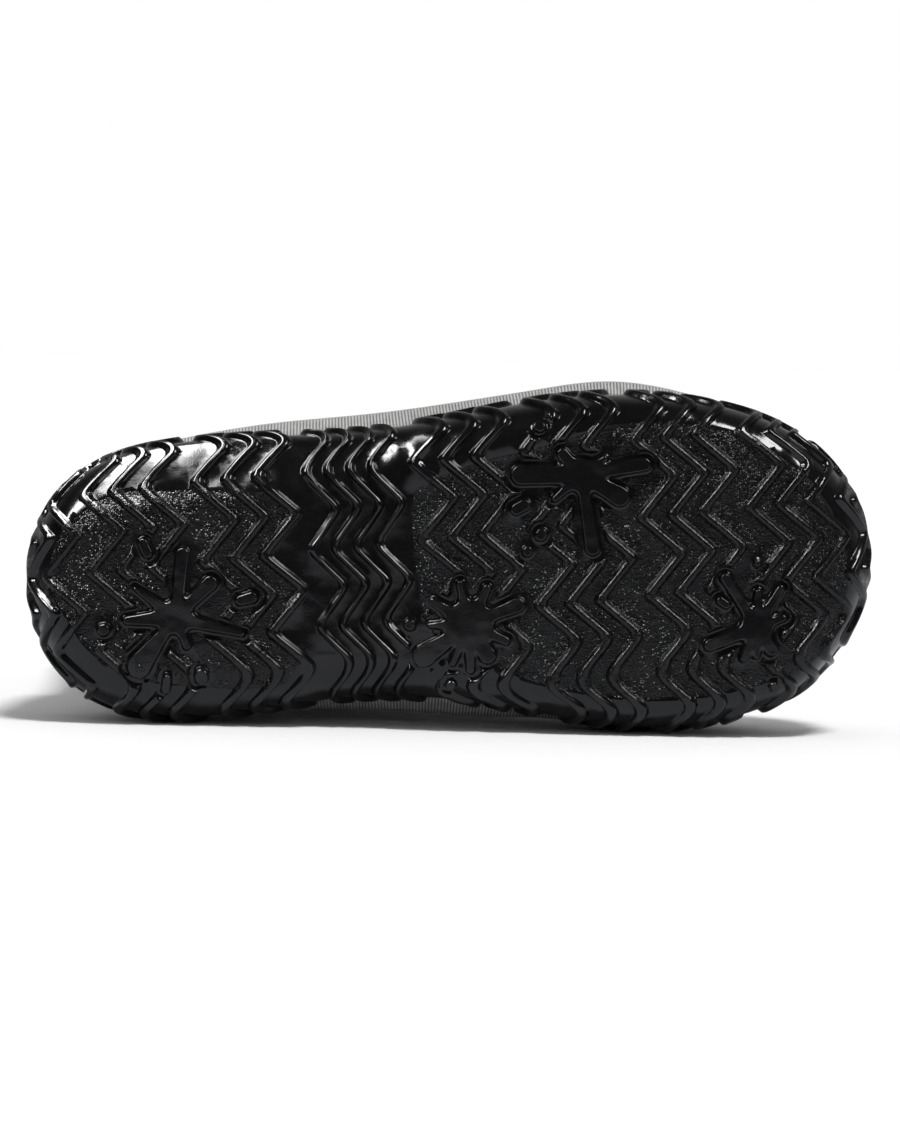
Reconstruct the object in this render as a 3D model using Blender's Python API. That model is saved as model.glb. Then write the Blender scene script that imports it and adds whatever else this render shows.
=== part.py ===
"""A child's right wellington boot lying on its inner side: moulded sole, textile upper and insole.

Every piece is modelled upright in the boot's own frame, in metres: x from heel to toe, y towards the
inner side of the foot, z up, with the tops of the tread ribs at z = 0. One empty then lays all of it down.
"""

import math

import bmesh
import bpy
import numpy as np
from mathutils import Matrix, Vector
from mathutils.geometry import delaunay_2d_cdt

# Driving sizes of the sole
SOLE_LENGTH = 0.205
BALL_WIDTH = 0.083
EDGE_RUN = 0.013
EDGE_RISE = 0.011
EDGE_CREASE = 0.62
RIM_HEIGHT = 0.024
CUP_WALL = 0.003
FLOOR_HEIGHT = 0.0085
ARCH_RISE = 0.0035
TOE_SPRING = 0.0085
HEEL_BEVEL = 0.0015

# Driving sizes of the tread
RIB_HEIGHT = 0.0014
RIB_WIDTH = 0.0029
RIB_PITCH = 0.0073
ARCH_RIB_WIDTH = 0.0022
ARCH_RIB_PITCH = 0.0053
RIB_SIDE = 0.0005
ZIGZAG_STEP = 0.0093
ZIGZAG_REACH = 0.00455
ZIGZAG_FIRST_ROW = -0.0294
PATTERN_TURN = math.radians(-4.0)
PLAIN_RIM = 0.0018
SPLAT_REACH = 0.020
SPLAT_MOAT = 0.0009

# Driving sizes of the upper and the insole
BOOT_HEIGHT = 0.168
UPPER_WALL = 0.0022
PUFF = 0.0036
PUFF_HEIGHT = 0.009
CUFF_HEIGHT = 0.014
CUFF_STEP = 0.0008
INSOLE_THICKNESS = 0.003
GAP = 0.0003

# Weights per volume, kg per cubic metre
RUBBER_DENSITY = 1000.0
TEXTILE_DENSITY = 500.0
FOAM_DENSITY = 200.0

# How finely round forms are divided
OUTLINE_STEPS = 80
UPPER_STEPS = 40
UPPER_ROWS = 12
FINE_STEPS = 960
SPLAT_TOLERANCE = 0.00014
SPLAT_GRID = 0.0005
CLIP_SAMPLES = 24
FLOOR_STEP = 0.010
EDGE_LINES = (0.0, 0.42, 0.84)
MERGE = 0.00002
SHORTEST_SIDE = 0.00028
THINNEST = 0.00002
CREASE_BLEND = 0.0018

# Columns: share of the sole length, outer and inner half width as shares of the ball width
OUTLINE_SHARES = (
    (0.03, 0.239, 0.250),
    (0.10, 0.368, 0.385),
    (0.20, 0.415, 0.418),
    (0.30, 0.424, 0.395),
    (0.40, 0.430, 0.378),
    (0.50, 0.460, 0.391),
    (0.60, 0.500, 0.437),
    (0.70, 0.514, 0.484),
    (0.80, 0.487, 0.479),
    (0.90, 0.402, 0.404),
    (0.97, 0.245, 0.240),
)

# Columns: share of the sole length, rounding as a share of EDGE_RUN, rim as a share of RIM_HEIGHT,
# floor inside as a share of FLOOR_HEIGHT
SHELL_STATIONS = (
    (0.00, 0.72, 1.40, 1.45),
    (0.14, 1.00, 1.20, 1.42),
    (0.32, 0.96, 1.02, 1.46),
    (0.50, 0.68, 1.00, 1.25),
    (0.70, 0.62, 1.02, 1.00),
    (0.88, 0.58, 1.18, 1.22),
    (1.00, 0.55, 1.32, 1.90),
)

# Columns: share of the sole length, arch as a share of ARCH_RISE, toe as a share of TOE_SPRING,
# heel as a share of HEEL_BEVEL
LIFT_STATIONS = (
    (0.00, 0.0, 0.00, 1.0),
    (0.06, 0.0, 0.00, 0.0),
    (0.30, 0.0, 0.00, 0.0),
    (0.36, 0.9, 0.00, 0.0),
    (0.41, 1.0, 0.00, 0.0),
    (0.45, 0.6, 0.00, 0.0),
    (0.49, 0.0, 0.00, 0.0),
    (0.80, 0.0, 0.00, 0.0),
    (0.90, 0.0, 0.28, 0.0),
    (1.00, 0.0, 1.00, 0.0),
)

# Columns: share of the sole length, slope of the outer edge where it leaves the tread, as a share of EDGE_CREASE
CREASE_STATIONS = (
    (0.00, 0.40),
    (0.10, 1.00),
    (0.29, 1.00),
    (0.38, 0.60),
    (0.52, 0.25),
    (1.00, 0.25),
)

# Columns: first rib as a share of the sole length, number of ribs, whether they are the fine arch ribs
RIB_GROUPS = (
    (-0.022, 3, False),
    (0.103, 3, False),
    (0.235, 3, False),
    (0.358, 4, True),
    (0.491, 3, False),
    (0.620, 3, False),
    (0.749, 3, False),
    (0.875, 3, False),
    (0.988, 3, False),
)

# Splashed shapes. Centre: share of the sole length, share of the ball width, radius as a share of
# SPLAT_REACH. Arms: direction in degrees, then start, end, start radius, end radius, all shares of SPLAT_REACH
SPLATS = (
    (
        (0.179, 0.104, 0.20),
        (
            (-82, 0.0, 0.76, 0.08, 0.10),
            (-43, 0.0, 0.58, 0.07, 0.11),
            (16, 0.0, 0.82, 0.11, 0.05),
            (-143, 0.0, 0.60, 0.10, 0.04),
            (178, 0.0, 0.58, 0.13, 0.07),
            (129, 0.0, 0.72, 0.05, 0.16),
            (70, 0.0, 0.36, 0.06, 0.07),
            (-112, 0.84, 0.97, 0.08, 0.08),
            (-13, 0.80, 0.94, 0.08, 0.09),
            (172, 0.87, 0.88, 0.09, 0.09),
            (68, 0.75, 0.76, 0.10, 0.10),
            (100, 0.73, 0.84, 0.07, 0.07),
        ),
    ),
    (
        (0.521, 0.149, 0.30),
        (
            (-146, 0.0, 0.50, 0.10, 0.07),
            (-101, 0.0, 0.50, 0.08, 0.06),
            (-62, 0.0, 0.48, 0.08, 0.07),
            (-20, 0.0, 0.62, 0.07, 0.11),
            (26, 0.0, 0.48, 0.08, 0.07),
            (61, 0.0, 0.43, 0.08, 0.12),
            (90, 0.0, 0.54, 0.07, 0.07),
            (115, 0.0, 0.50, 0.06, 0.06),
            (146, 0.0, 0.66, 0.06, 0.15),
            (-180, 0.0, 0.46, 0.09, 0.05),
            (-179, 0.70, 0.71, 0.09, 0.09),
            (108, 0.78, 0.79, 0.08, 0.08),
        ),
    ),
    (
        (0.657, -0.271, 0.21),
        (
            (-178, 0.0, 0.72, 0.12, 0.14),
            (-8, 0.0, 0.76, 0.09, 0.10),
            (31, 0.0, 0.52, 0.09, 0.14),
            (-130, 0.0, 0.34, 0.08, 0.09),
            (-35, 0.0, 0.34, 0.07, 0.05),
            (83, 0.0, 0.88, 0.08, 0.11),
            (140, 0.0, 0.42, 0.07, 0.06),
            (154, 0.77, 0.88, 0.09, 0.09),
            (126, 0.85, 0.87, 0.09, 0.09),
            (127, 1.11, 1.12, 0.08, 0.08),
            (-129, 0.77, 0.78, 0.09, 0.09),
        ),
    ),
    (
        (0.856, 0.183, 0.20),
        (
            (-121, 0.0, 0.70, 0.08, 0.08),
            (-86, 0.0, 0.42, 0.07, 0.06),
            (-56, 0.0, 0.54, 0.08, 0.07),
            (-17, 0.0, 0.34, 0.08, 0.06),
            (58, 0.0, 0.32, 0.08, 0.10),
            (161, 0.0, 0.60, 0.09, 0.09),
            (115, 0.0, 0.40, 0.07, 0.07),
            (92, 0.0, 0.34, 0.06, 0.06),
            (-142, 0.46, 0.54, 0.07, 0.07),
            (-88, 0.76, 0.77, 0.06, 0.06),
            (75, 0.75, 0.76, 0.07, 0.07),
        ),
    ),
)

# Columns: share of the sole length, how far the textile stands out over the rim on the outer and on the
# inner side as shares of PUFF, and how high above the rim as a share of PUFF_HEIGHT
PUFF_STATIONS = (
    (0.00, -0.60, -0.60, 0.45),
    (0.10, -0.50, -0.50, 0.55),
    (0.21, -0.05, 0.00, 0.80),
    (0.32, 0.50, 0.45, 1.00),
    (0.45, 0.62, 1.05, 1.00),
    (0.54, 0.42, 0.95, 1.00),
    (0.61, 0.32, 0.35, 1.00),
    (0.69, 0.48, 0.10, 0.90),
    (0.80, -0.08, -0.20, 0.75),
    (0.90, -0.50, -0.50, 0.55),
    (1.00, -0.50, -0.50, 0.45),
)

# Sections of the upper from the rim to the collar. Columns: back and front as shares of the sole length,
# their heights as shares of the boot height, outer and inner half width as shares of the ball width,
# and how far the section keeps the sole's outline, where 0 is a plain oval
UPPER_SECTIONS = (
    (0.013, 0.972, 0.275, 0.270, 0.462, 0.455, 0.75),
    (0.016, 0.938, 0.325, 0.308, 0.435, 0.430, 0.70),
    (0.022, 0.865, 0.370, 0.348, 0.410, 0.408, 0.60),
    (0.030, 0.755, 0.420, 0.390, 0.390, 0.390, 0.45),
    (0.040, 0.640, 0.480, 0.460, 0.376, 0.380, 0.25),
    (0.045, 0.550, 0.560, 0.560, 0.366, 0.372, 0.10),
    (0.042, 0.500, 0.670, 0.680, 0.360, 0.372, 0.00),
    (0.034, 0.482, 0.830, 0.840, 0.360, 0.378, 0.00),
    (0.028, 0.480, 1.000, 1.000, 0.368, 0.388, 0.00),
)
OVAL_POWER = 0.9


def clear_scene():
    """Removes whatever the scene holds."""
    for item in list(bpy.data.objects):
        bpy.data.objects.remove(item, do_unlink=True)


def smooth_curve(knots, values):
    """A natural cubic spline through the rows of a short table, held level past both ends."""
    knots = np.asarray(knots, float)
    values = np.asarray(values, float)
    count = len(knots)
    gaps = np.diff(knots)
    slopes = np.diff(values) / gaps
    system = np.eye(count)
    right = np.zeros(count)
    for i in range(1, count - 1):
        system[i, i - 1 : i + 2] = gaps[i - 1], 2 * (gaps[i - 1] + gaps[i]), gaps[i]
        right[i] = 6 * (slopes[i] - slopes[i - 1])
    bends = np.linalg.solve(system, right)

    def value_at(place):
        place = np.clip(place, knots[0], knots[-1])
        i = np.clip(np.searchsorted(knots, place, side="right") - 1, 0, count - 2)
        before = (knots[i + 1] - place) / gaps[i]
        after = 1 - before
        bend = (before**3 - before) * bends[i] + (after**3 - after) * bends[i + 1]
        return before * values[i] + after * values[i + 1] + bend * gaps[i] ** 2 / 6

    return value_at


def eased_curve(knots, values):
    """Like smooth_curve, but flat at every row, so that level stretches stay exactly level."""
    knots = np.asarray(knots, float)
    values = np.asarray(values, float)

    def value_at(place):
        place = np.clip(place, knots[0], knots[-1])
        i = np.clip(np.searchsorted(knots, place, side="right") - 1, 0, len(knots) - 2)
        way = (place - knots[i]) / (knots[i + 1] - knots[i])
        eased = way * way * (3 - 2 * way)
        return values[i] + (values[i + 1] - values[i]) * eased

    return value_at


def turn_of(share):
    """The outline's angle, 0 at the heel and pi at the toe, for a share of the length."""
    return np.arccos(np.clip(1 - 2 * np.asarray(share, float), -1, 1))


def side_widths(column):
    """Half width over the outline's angle, as a share of the ball width, rounded off at both ends."""
    angles = [0.0, *(float(turn_of(row[0])) for row in OUTLINE_SHARES), math.pi]
    shares = [0.0, *(row[column] for row in OUTLINE_SHARES), 0.0]
    return smooth_curve(angles, shares)


outer_share = side_widths(1)
inner_share = side_widths(2)
run_share = smooth_curve([row[0] for row in SHELL_STATIONS], [row[1] for row in SHELL_STATIONS])
rim_share = smooth_curve([row[0] for row in SHELL_STATIONS], [row[2] for row in SHELL_STATIONS])
floor_share = smooth_curve([row[0] for row in SHELL_STATIONS], [row[3] for row in SHELL_STATIONS])
arch_share = eased_curve([row[0] for row in LIFT_STATIONS], [row[1] for row in LIFT_STATIONS])
spring_share = eased_curve([row[0] for row in LIFT_STATIONS], [row[2] for row in LIFT_STATIONS])
bevel_share = eased_curve([row[0] for row in LIFT_STATIONS], [row[3] for row in LIFT_STATIONS])
crease_share = eased_curve([row[0] for row in CREASE_STATIONS], [row[1] for row in CREASE_STATIONS])
outer_puff = smooth_curve([row[0] for row in PUFF_STATIONS], [row[1] for row in PUFF_STATIONS])
inner_puff = smooth_curve([row[0] for row in PUFF_STATIONS], [row[2] for row in PUFF_STATIONS])
puff_rise = smooth_curve([row[0] for row in PUFF_STATIONS], [row[3] for row in PUFF_STATIONS])


def lift(x):
    """How far the tread is raised from the floor plane at the heel's back, the arch and the toe."""
    share = x / SOLE_LENGTH
    rise = ARCH_RISE * arch_share(share) + TOE_SPRING * spring_share(share)
    return rise + HEEL_BEVEL * bevel_share(share)


def floor_height(x):
    """Height of the cup's floor inside, on which the insole lies."""
    return FLOOR_HEIGHT * floor_share(x / SOLE_LENGTH)


def rim_height(x):
    """Height of the cup's rim."""
    return RIM_HEIGHT * rim_share(x / SOLE_LENGTH)


class Outline:
    """The bare shell's widest outline, without the ribs, as a fine closed line in plan."""

    def __init__(self):
        turns = np.linspace(0, 2 * math.pi, FINE_STEPS, endpoint=False)
        half = np.where(turns <= math.pi, outer_share(turns), inner_share(2 * math.pi - turns))
        side = np.where(turns <= math.pi, -1.0, 1.0)
        x = SOLE_LENGTH * (1 - np.cos(turns)) / 2
        over_ribs = np.stack([x, side * half * BALL_WIDTH], axis=1)
        over_ribs = self.evenly(over_ribs, FINE_STEPS)
        self.line = over_ribs - self.outward_of(over_ribs) * RIB_HEIGHT
        self.line = self.evenly(self.line, FINE_STEPS)
        self.outward = self.outward_of(self.line)

    @staticmethod
    def evenly(line, count):
        """The closed line again, with its points evenly spaced."""
        closed = np.vstack([line, line[:1]])
        walked = np.concatenate([[0], np.cumsum(np.linalg.norm(np.diff(closed, axis=0), axis=1))])
        places = np.linspace(0, walked[-1], count, endpoint=False)
        return np.stack([np.interp(places, walked, closed[:, i]) for i in (0, 1)], axis=1)

    @staticmethod
    def outward_of(line):
        """Directions out of the closed line, which runs anticlockwise."""
        along = np.roll(line, -1, axis=0) - np.roll(line, 1, axis=0)
        away = np.stack([along[:, 1], -along[:, 0]], axis=1)
        return away / np.linalg.norm(away, axis=1, keepdims=True)

    def places(self, count):
        """Every so-manieth point of the outline, with its outward direction."""
        step = FINE_STEPS // count
        return self.line[::step], self.outward[::step]

    def loop(self, count, distance):
        """The outline moved outward by a distance, one number or one for each point."""
        line, outward = self.places(count)
        return line + outward * np.reshape(distance, (-1, 1))

    def nearest(self, points):
        """For each point: the nearest place on the outline, its outward direction and the distance past it."""
        ends = np.roll(self.line, -1, axis=0)
        end_outward = np.roll(self.outward, -1, axis=0)
        spans = ends - self.line
        lengths = (spans**2).sum(axis=1)
        foot = np.empty_like(points)
        outward = np.empty_like(points)
        for first in range(0, len(points), 500):
            some = points[first : first + 500]
            away = some[:, None, :] - self.line[None, :, :]
            way = np.clip((away * spans).sum(axis=2) / lengths, 0, 1)
            off = away - way[:, :, None] * spans
            best = (off**2).sum(axis=2).argmin(axis=1)
            part = way[np.arange(len(some)), best][:, None]
            foot[first : first + 500] = self.line[best] + part * spans[best]
            blend = self.outward[best] * (1 - part) + end_outward[best] * part
            outward[first : first + 500] = blend / np.linalg.norm(blend, axis=1, keepdims=True)
        return foot, outward, ((points - foot) * outward).sum(axis=1)


OUTLINE = Outline()


def edge_run(x):
    """How far in from the outline the rounded edge starts."""
    return EDGE_RUN * run_share(x / SOLE_LENGTH)


def edge_arc(run):
    """Length of the rounded edge, a quarter of an ellipse."""
    return math.pi / 2 * np.sqrt((run**2 + EDGE_RISE**2) / 2)


def arc_at_rim(x):
    """Length from the flat tread round the edge and up to the rim."""
    wall = rim_height(x) - RIB_HEIGHT - lift(x) - EDGE_RISE
    return edge_arc(edge_run(x)) + wall


def on_shell(flat):
    """Places and outward directions on the bare shell for points of the flattened tread.

    The flattened tread is the plan of the flat part, with the rounded edge and the side wall unrolled
    around it. Also gives each point's length past the flat part, and that length at the rim.
    """
    foot, outward, distance = OUTLINE.nearest(flat)
    run = edge_run(foot[:, 0])
    arc = distance + run
    whole_arc = edge_arc(run)
    turn = np.clip(arc / whole_arc, 0, 1) * math.pi / 2
    inward = run * (1 - np.sin(turn))
    plan = np.where(arc[:, None] <= 0, flat, foot - outward * inward[:, None])
    crease = EDGE_CREASE * crease_share(foot[:, 0] / SOLE_LENGTH) * np.clip(-outward[:, 1], 0, 1) ** 2
    climb = EDGE_RISE * (1 - np.cos(turn)) + np.maximum(arc - whole_arc, 0)
    climb = climb + crease * run * np.sin(turn) * (1 - np.sin(turn))
    height = RIB_HEIGHT + lift(plan[:, 0]) + climb
    nudge = SOLE_LENGTH / FINE_STEPS
    slope = (lift(plan[:, 0] + nudge) - lift(plan[:, 0] - nudge)) / (2 * nudge)
    creased = crease * np.clip(0.3 + arc / CREASE_BLEND, 0, 1)
    sideways = np.sin(turn) / run + creased * np.cos(turn) * (1 - 2 * np.sin(turn)) / EDGE_RISE
    down = np.cos(turn) / EDGE_RISE
    away = np.column_stack([outward[:, 0] * sideways + slope * down, outward[:, 1] * sideways, -down])
    away /= np.linalg.norm(away, axis=1, keepdims=True)
    return np.column_stack([plan, height]), away, arc, arc_at_rim(foot[:, 0])


def ramp(distance):
    """0 outside a raised form's edge and 1 inside it, rising evenly over its sloping side."""
    return np.clip(distance / RIB_SIDE, 0, 1)


def to_pattern(flat):
    """Turned coordinates of the rib pattern: along the sole and across it."""
    cos, sin = math.cos(PATTERN_TURN), math.sin(PATTERN_TURN)
    return flat[:, 0] * cos + flat[:, 1] * sin, flat[:, 1] * cos - flat[:, 0] * sin


def from_pattern(along, across):
    """The flattened tread's coordinates again."""
    cos, sin = math.cos(PATTERN_TURN), math.sin(PATTERN_TURN)
    return np.column_stack([along * cos - across * sin, along * sin + across * cos])


class Rib:
    """One zigzag rib that runs across the whole sole and up both side walls."""

    def __init__(self, centre, fine):
        self.centre = centre
        width = ARCH_RIB_WIDTH if fine else RIB_WIDTH
        self.reach = ZIGZAG_REACH * (ARCH_RIB_WIDTH / RIB_WIDTH) ** 0.5 if fine else ZIGZAG_REACH
        lean = math.hypot(2 * self.reach, ZIGZAG_STEP) / ZIGZAG_STEP
        self.half = width / 2 * lean
        self.side = RIB_SIDE * lean

    def middle(self, across):
        """Where the rib's middle line lies along the sole, for places across it."""
        rows = np.mod((across - ZIGZAG_FIRST_ROW) / ZIGZAG_STEP, 2)
        return self.centre + self.reach * (2 * np.abs(rows - 1) - 1)

    def presence(self, along, across):
        """1 on the rib's top, 0 beside it."""
        return np.clip((self.half - np.abs(along - self.middle(across))) / self.side, 0, 1)

    def lines(self):
        """The rib's four edges, at its foot and its top, with a point at each bend."""
        rows = np.arange(-6, 14)
        across = ZIGZAG_FIRST_ROW + rows * ZIGZAG_STEP
        for shift in (-self.half, self.side - self.half, self.half - self.side, self.half):
            yield from_pattern(self.middle(across) + shift, across)


def all_ribs():
    """The ribs of every group, from the heel to the toe."""
    ribs = []
    for first, count, fine in RIB_GROUPS:
        pitch = ARCH_RIB_PITCH if fine else RIB_PITCH
        ribs += [Rib(first * SOLE_LENGTH + i * pitch, fine) for i in range(count)]
    return ribs


RIBS = all_ribs()


def ribs_at(flat):
    """The highest rib's presence at each point."""
    along, across = to_pattern(flat)
    return np.max([rib.presence(along, across) for rib in RIBS], axis=0)


def arm_distance(points, centre, arm):
    """Distance to a tapered round-ended arm, negative inside."""
    direction = math.radians(arm[0])
    along = np.array([math.cos(direction), math.sin(direction)])
    start, end, start_radius, end_radius = (share * SPLAT_REACH for share in arm[1:])
    away = points - centre
    way = np.clip((away @ along - start) / (end - start), 0, 1)
    nearest = np.outer(start + way * (end - start), along)
    return np.linalg.norm(away - nearest, axis=1) - start_radius - way * (end_radius - start_radius)


def splat_centre(splat):
    """A splat's centre on the flattened tread."""
    return np.array([splat[0][0] * SOLE_LENGTH, splat[0][1] * BALL_WIDTH])


def splat_distance(points, splats=SPLATS):
    """Distance to the nearest splat, negative inside, with soft inner corners between its arms."""
    softness = SPLAT_REACH * 0.03
    result = np.full(len(points), np.inf)
    for splat in splats:
        centre = splat_centre(splat)
        joined = np.exp(-(np.linalg.norm(points - centre, axis=1) - splat[0][2] * SPLAT_REACH) / softness)
        for arm in splat[1]:
            distance = arm_distance(points, centre, arm)
            if arm[1] == 0:
                joined = joined + np.exp(-distance / softness)
            else:
                result = np.minimum(result, distance)
        result = np.minimum(result, -softness * np.log(np.maximum(joined, 1e-30)))
    return result


def relief(flat, arc, rim_arc):
    """Height of ribs and splats over the bare shell."""
    moat = splat_distance(flat)
    ribs = np.minimum(ribs_at(flat), ramp(moat - SPLAT_MOAT))
    ribs = np.minimum(ribs, ramp(rim_arc - PLAIN_RIM - arc))
    return RIB_HEIGHT * np.maximum(ribs, ramp(-moat))


def chained(pairs):
    """Closed chains of keys from unordered pairs, each key standing in two of them."""
    neighbours = {}
    for first, second in pairs:
        neighbours.setdefault(first, []).append(second)
        neighbours.setdefault(second, []).append(first)
    loops = []
    while neighbours:
        start = next(iter(neighbours))
        loop = [start]
        following = neighbours.pop(start)[0]
        while following != start:
            before = loop[-1]
            loop.append(following)
            one, other = neighbours.pop(following)
            following = other if one == before else one
        loops.append(loop)
    return loops


def needed(line):
    """The points of an open line that its shape needs, within SPLAT_TOLERANCE."""
    along = line[-1] - line[0]
    away = line - line[0]
    off = np.abs(away[:, 0] * along[1] - away[:, 1] * along[0]) / np.linalg.norm(along)
    far = int(off.argmax())
    if off[far] <= SPLAT_TOLERANCE:
        return line[[0, -1]]
    return np.vstack([needed(line[: far + 1])[:-1], needed(line[far:])])


def level_loops(splat, level):
    """Closed lines round a splat at a given distance from it."""
    reach = SPLAT_REACH * 1.35
    count = int(2 * reach / SPLAT_GRID) + 1
    steps = np.linspace(-reach, reach, count)
    grid = np.stack(np.meshgrid(steps, steps, indexing="ij"), axis=-1).reshape(-1, 2) + splat_centre(splat)
    values = splat_distance(grid, (splat,)) - level
    values[values == 0] = SPLAT_GRID * 1e-6
    first = (np.arange(count - 1)[:, None] * count + np.arange(count - 1)).ravel()
    pairs = []
    for corner in (count, 1):
        corners = np.sort(np.column_stack([first, first + corner, first + count + 1]), axis=1)
        raised = values[corners] > 0
        for (a, b, c), (high_a, high_b, high_c) in zip(corners.tolist(), raised.tolist()):
            if high_a != high_b or high_b != high_c:
                sides = (((a, b), high_a != high_b), ((b, c), high_b != high_c), ((a, c), high_a != high_c))
                pairs.append([ends for ends, crossed in sides if crossed])
    for loop in chained(pairs):
        ends = np.array(loop)
        low, high = values[ends[:, 0]], values[ends[:, 1]]
        way = (low / (low - high))[:, None]
        line = grid[ends[:, 0]] * (1 - way) + grid[ends[:, 1]] * way
        half = len(line) // 2
        yield np.vstack([needed(line[: half + 1])[:-1], needed(np.vstack([line[half:], line[:1]]))[:-1]])


def kept_parts(starts, ends):
    """The stretches of straight legs that lie on the tread, found by samples and then by halving."""
    ways = np.linspace(0, 1, CLIP_SAMPLES + 1)
    spans = ends - starts
    samples = starts[:, None, :] + ways[None, :, None] * spans[:, None, :]
    kept = on_tread(samples.reshape(-1, 2)).reshape(len(starts), -1)
    legs, steps = np.nonzero(kept[:, 1:] != kept[:, :-1])
    low, high = ways[steps], ways[steps + 1]
    for _ in range(12):
        middle = (low + high) / 2
        same = on_tread(starts[legs] + middle[:, None] * spans[legs]) == kept[legs, steps]
        low = np.where(same, middle, low)
        high = np.where(same, high, middle)
    for leg in np.flatnonzero(kept.any(axis=1)):
        cuts = [0.0] * bool(kept[leg, 0]) + low[legs == leg].tolist() + [1.0] * bool(kept[leg, -1])
        for first, last in zip(cuts[::2], cuts[1::2]):
            yield starts[leg] + first * spans[leg], starts[leg] + last * spans[leg]


def on_tread(flat):
    """Whether a point lies below the plain band under the rim and clear of the splats."""
    foot, _, distance = OUTLINE.nearest(flat)
    run = edge_run(foot[:, 0])
    arc = distance + run
    return (arc < arc_at_rim(foot[:, 0]) - PLAIN_RIM) & (splat_distance(flat) > SPLAT_MOAT)


class Drawing:
    """Lines that the tread's triangles have to follow, on the flattened tread."""

    def __init__(self):
        self.points = []
        self.edges = []

    def loop(self, line):
        first = len(self.points)
        self.points += [tuple(point) for point in line]
        count = len(line)
        self.edges += [(first + i, first + (i + 1) % count) for i in range(count)]
        return list(range(first, first + count))

    def stretch(self, start, end):
        first = len(self.points)
        self.points += [tuple(start), tuple(end)]
        self.edges.append((first, first + 1))

    def on_ribs(self, line):
        """Draws only the stretches of a closed line that cross ribs."""
        ends = np.roll(line, -1, axis=0)
        crossing = ribs_at((line * 3 + ends) / 4) + ribs_at((line + ends) / 2) + ribs_at((line + ends * 3) / 4) > 0
        for start, end in zip(line[crossing], ends[crossing]):
            self.stretch(start, end)

    def triangles(self, outer):
        """Points and triangles inside the outer loop."""
        in_mm = [Vector(point) * 1000 for point in self.points]
        made = delaunay_2d_cdt(in_mm, self.edges, [outer], 1, MERGE * 1000)
        rim = {i for i, sources in enumerate(made[3]) if set(sources) & set(outer)}
        points = np.array([tuple(point) for point in made[0]]) / 1000
        return without_short_sides(points, [tuple(face) for face in made[2]], rim)


def arc_loop(length_at):
    """The closed line at a given length past the flat tread, a function of place and length at the rim."""
    line, _ = OUTLINE.places(OUTLINE_STEPS)
    x = line[:, 0]
    return OUTLINE.loop(OUTLINE_STEPS, length_at(x) - edge_run(x))


def tread_lines():
    """Everything that shapes the tread, and the loop of its rim."""
    drawing = Drawing()
    outer = drawing.loop(arc_loop(arc_at_rim))
    drawing.on_ribs(arc_loop(lambda x: arc_at_rim(x) - PLAIN_RIM))
    drawing.on_ribs(arc_loop(lambda x: arc_at_rim(x) - PLAIN_RIM - RIB_SIDE))
    for share in EDGE_LINES:
        drawing.loop(arc_loop(lambda x, share=share: share * edge_arc(edge_run(x))))
    lines = [line for rib in RIBS for line in rib.lines()]
    starts = np.concatenate([line[:-1] for line in lines])
    ends = np.concatenate([line[1:] for line in lines])
    for part in kept_parts(starts, ends):
        drawing.stretch(*part)
    for splat in SPLATS:
        for level in (0.0, -RIB_SIDE):
            for line in level_loops(splat, level):
                drawing.loop(line)
        for level in (SPLAT_MOAT, SPLAT_MOAT + RIB_SIDE):
            for line in level_loops(splat, level):
                drawing.on_ribs(line)
    return drawing, outer


def doubled_area(points, face):
    """Twice a triangle's signed area in plan."""
    (ax, ay), (bx, by), (cx, cy) = points[face[0]], points[face[1]], points[face[2]]
    return (bx - ax) * (cy - ay) - (by - ay) * (cx - ax)


def longest_side(points, face):
    """Length of a triangle's longest side in plan."""
    return max(math.dist(points[face[k - 1]], points[face[k]]) for k in range(3))


def without_short_sides(points, triangles, fixed):
    """The triangles again, with each side under SHORTEST_SIDE closed up where no triangle turns over."""
    places = [tuple(point) for point in points.tolist()]
    faces = dict(enumerate(triangles))
    around = {}
    for name, face in faces.items():
        for corner in face:
            around.setdefault(corner, set()).add(name)
    sides = {tuple(sorted((face[k - 1], face[k]))) for face in triangles for k in range(3)}
    lengths = sorted((math.dist(places[a], places[b]), a, b) for a, b in sides)
    for length, a, b in lengths:
        if length > SHORTEST_SIDE:
            break
        for kept, gone in ((a, b), (b, a)):
            if gone in fixed or not around.get(gone) or not around.get(kept):
                continue
            shared = around[gone] & around[kept]
            moved = {name: tuple(kept if c == gone else c for c in faces[name]) for name in around[gone] - shared}
            thin = [f for f in moved.values() if doubled_area(places, f) < THINNEST * longest_side(places, f)]
            rings = [{c for name in around[end] for c in faces[name]} - {a, b} for end in (a, b)]
            if thin or len(shared) != 2 or len(rings[0] & rings[1]) != 2:
                continue
            for name in shared:
                for corner in faces.pop(name):
                    around[corner].discard(name)
            faces.update(moved)
            around[kept] |= set(moved)
            around[gone] = set()
            break
    used = sorted({corner for face in faces.values() for corner in face})
    names = {old: new for new, old in enumerate(used)}
    return points[used], [tuple(names[corner] for corner in face) for face in faces.values()]


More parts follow.
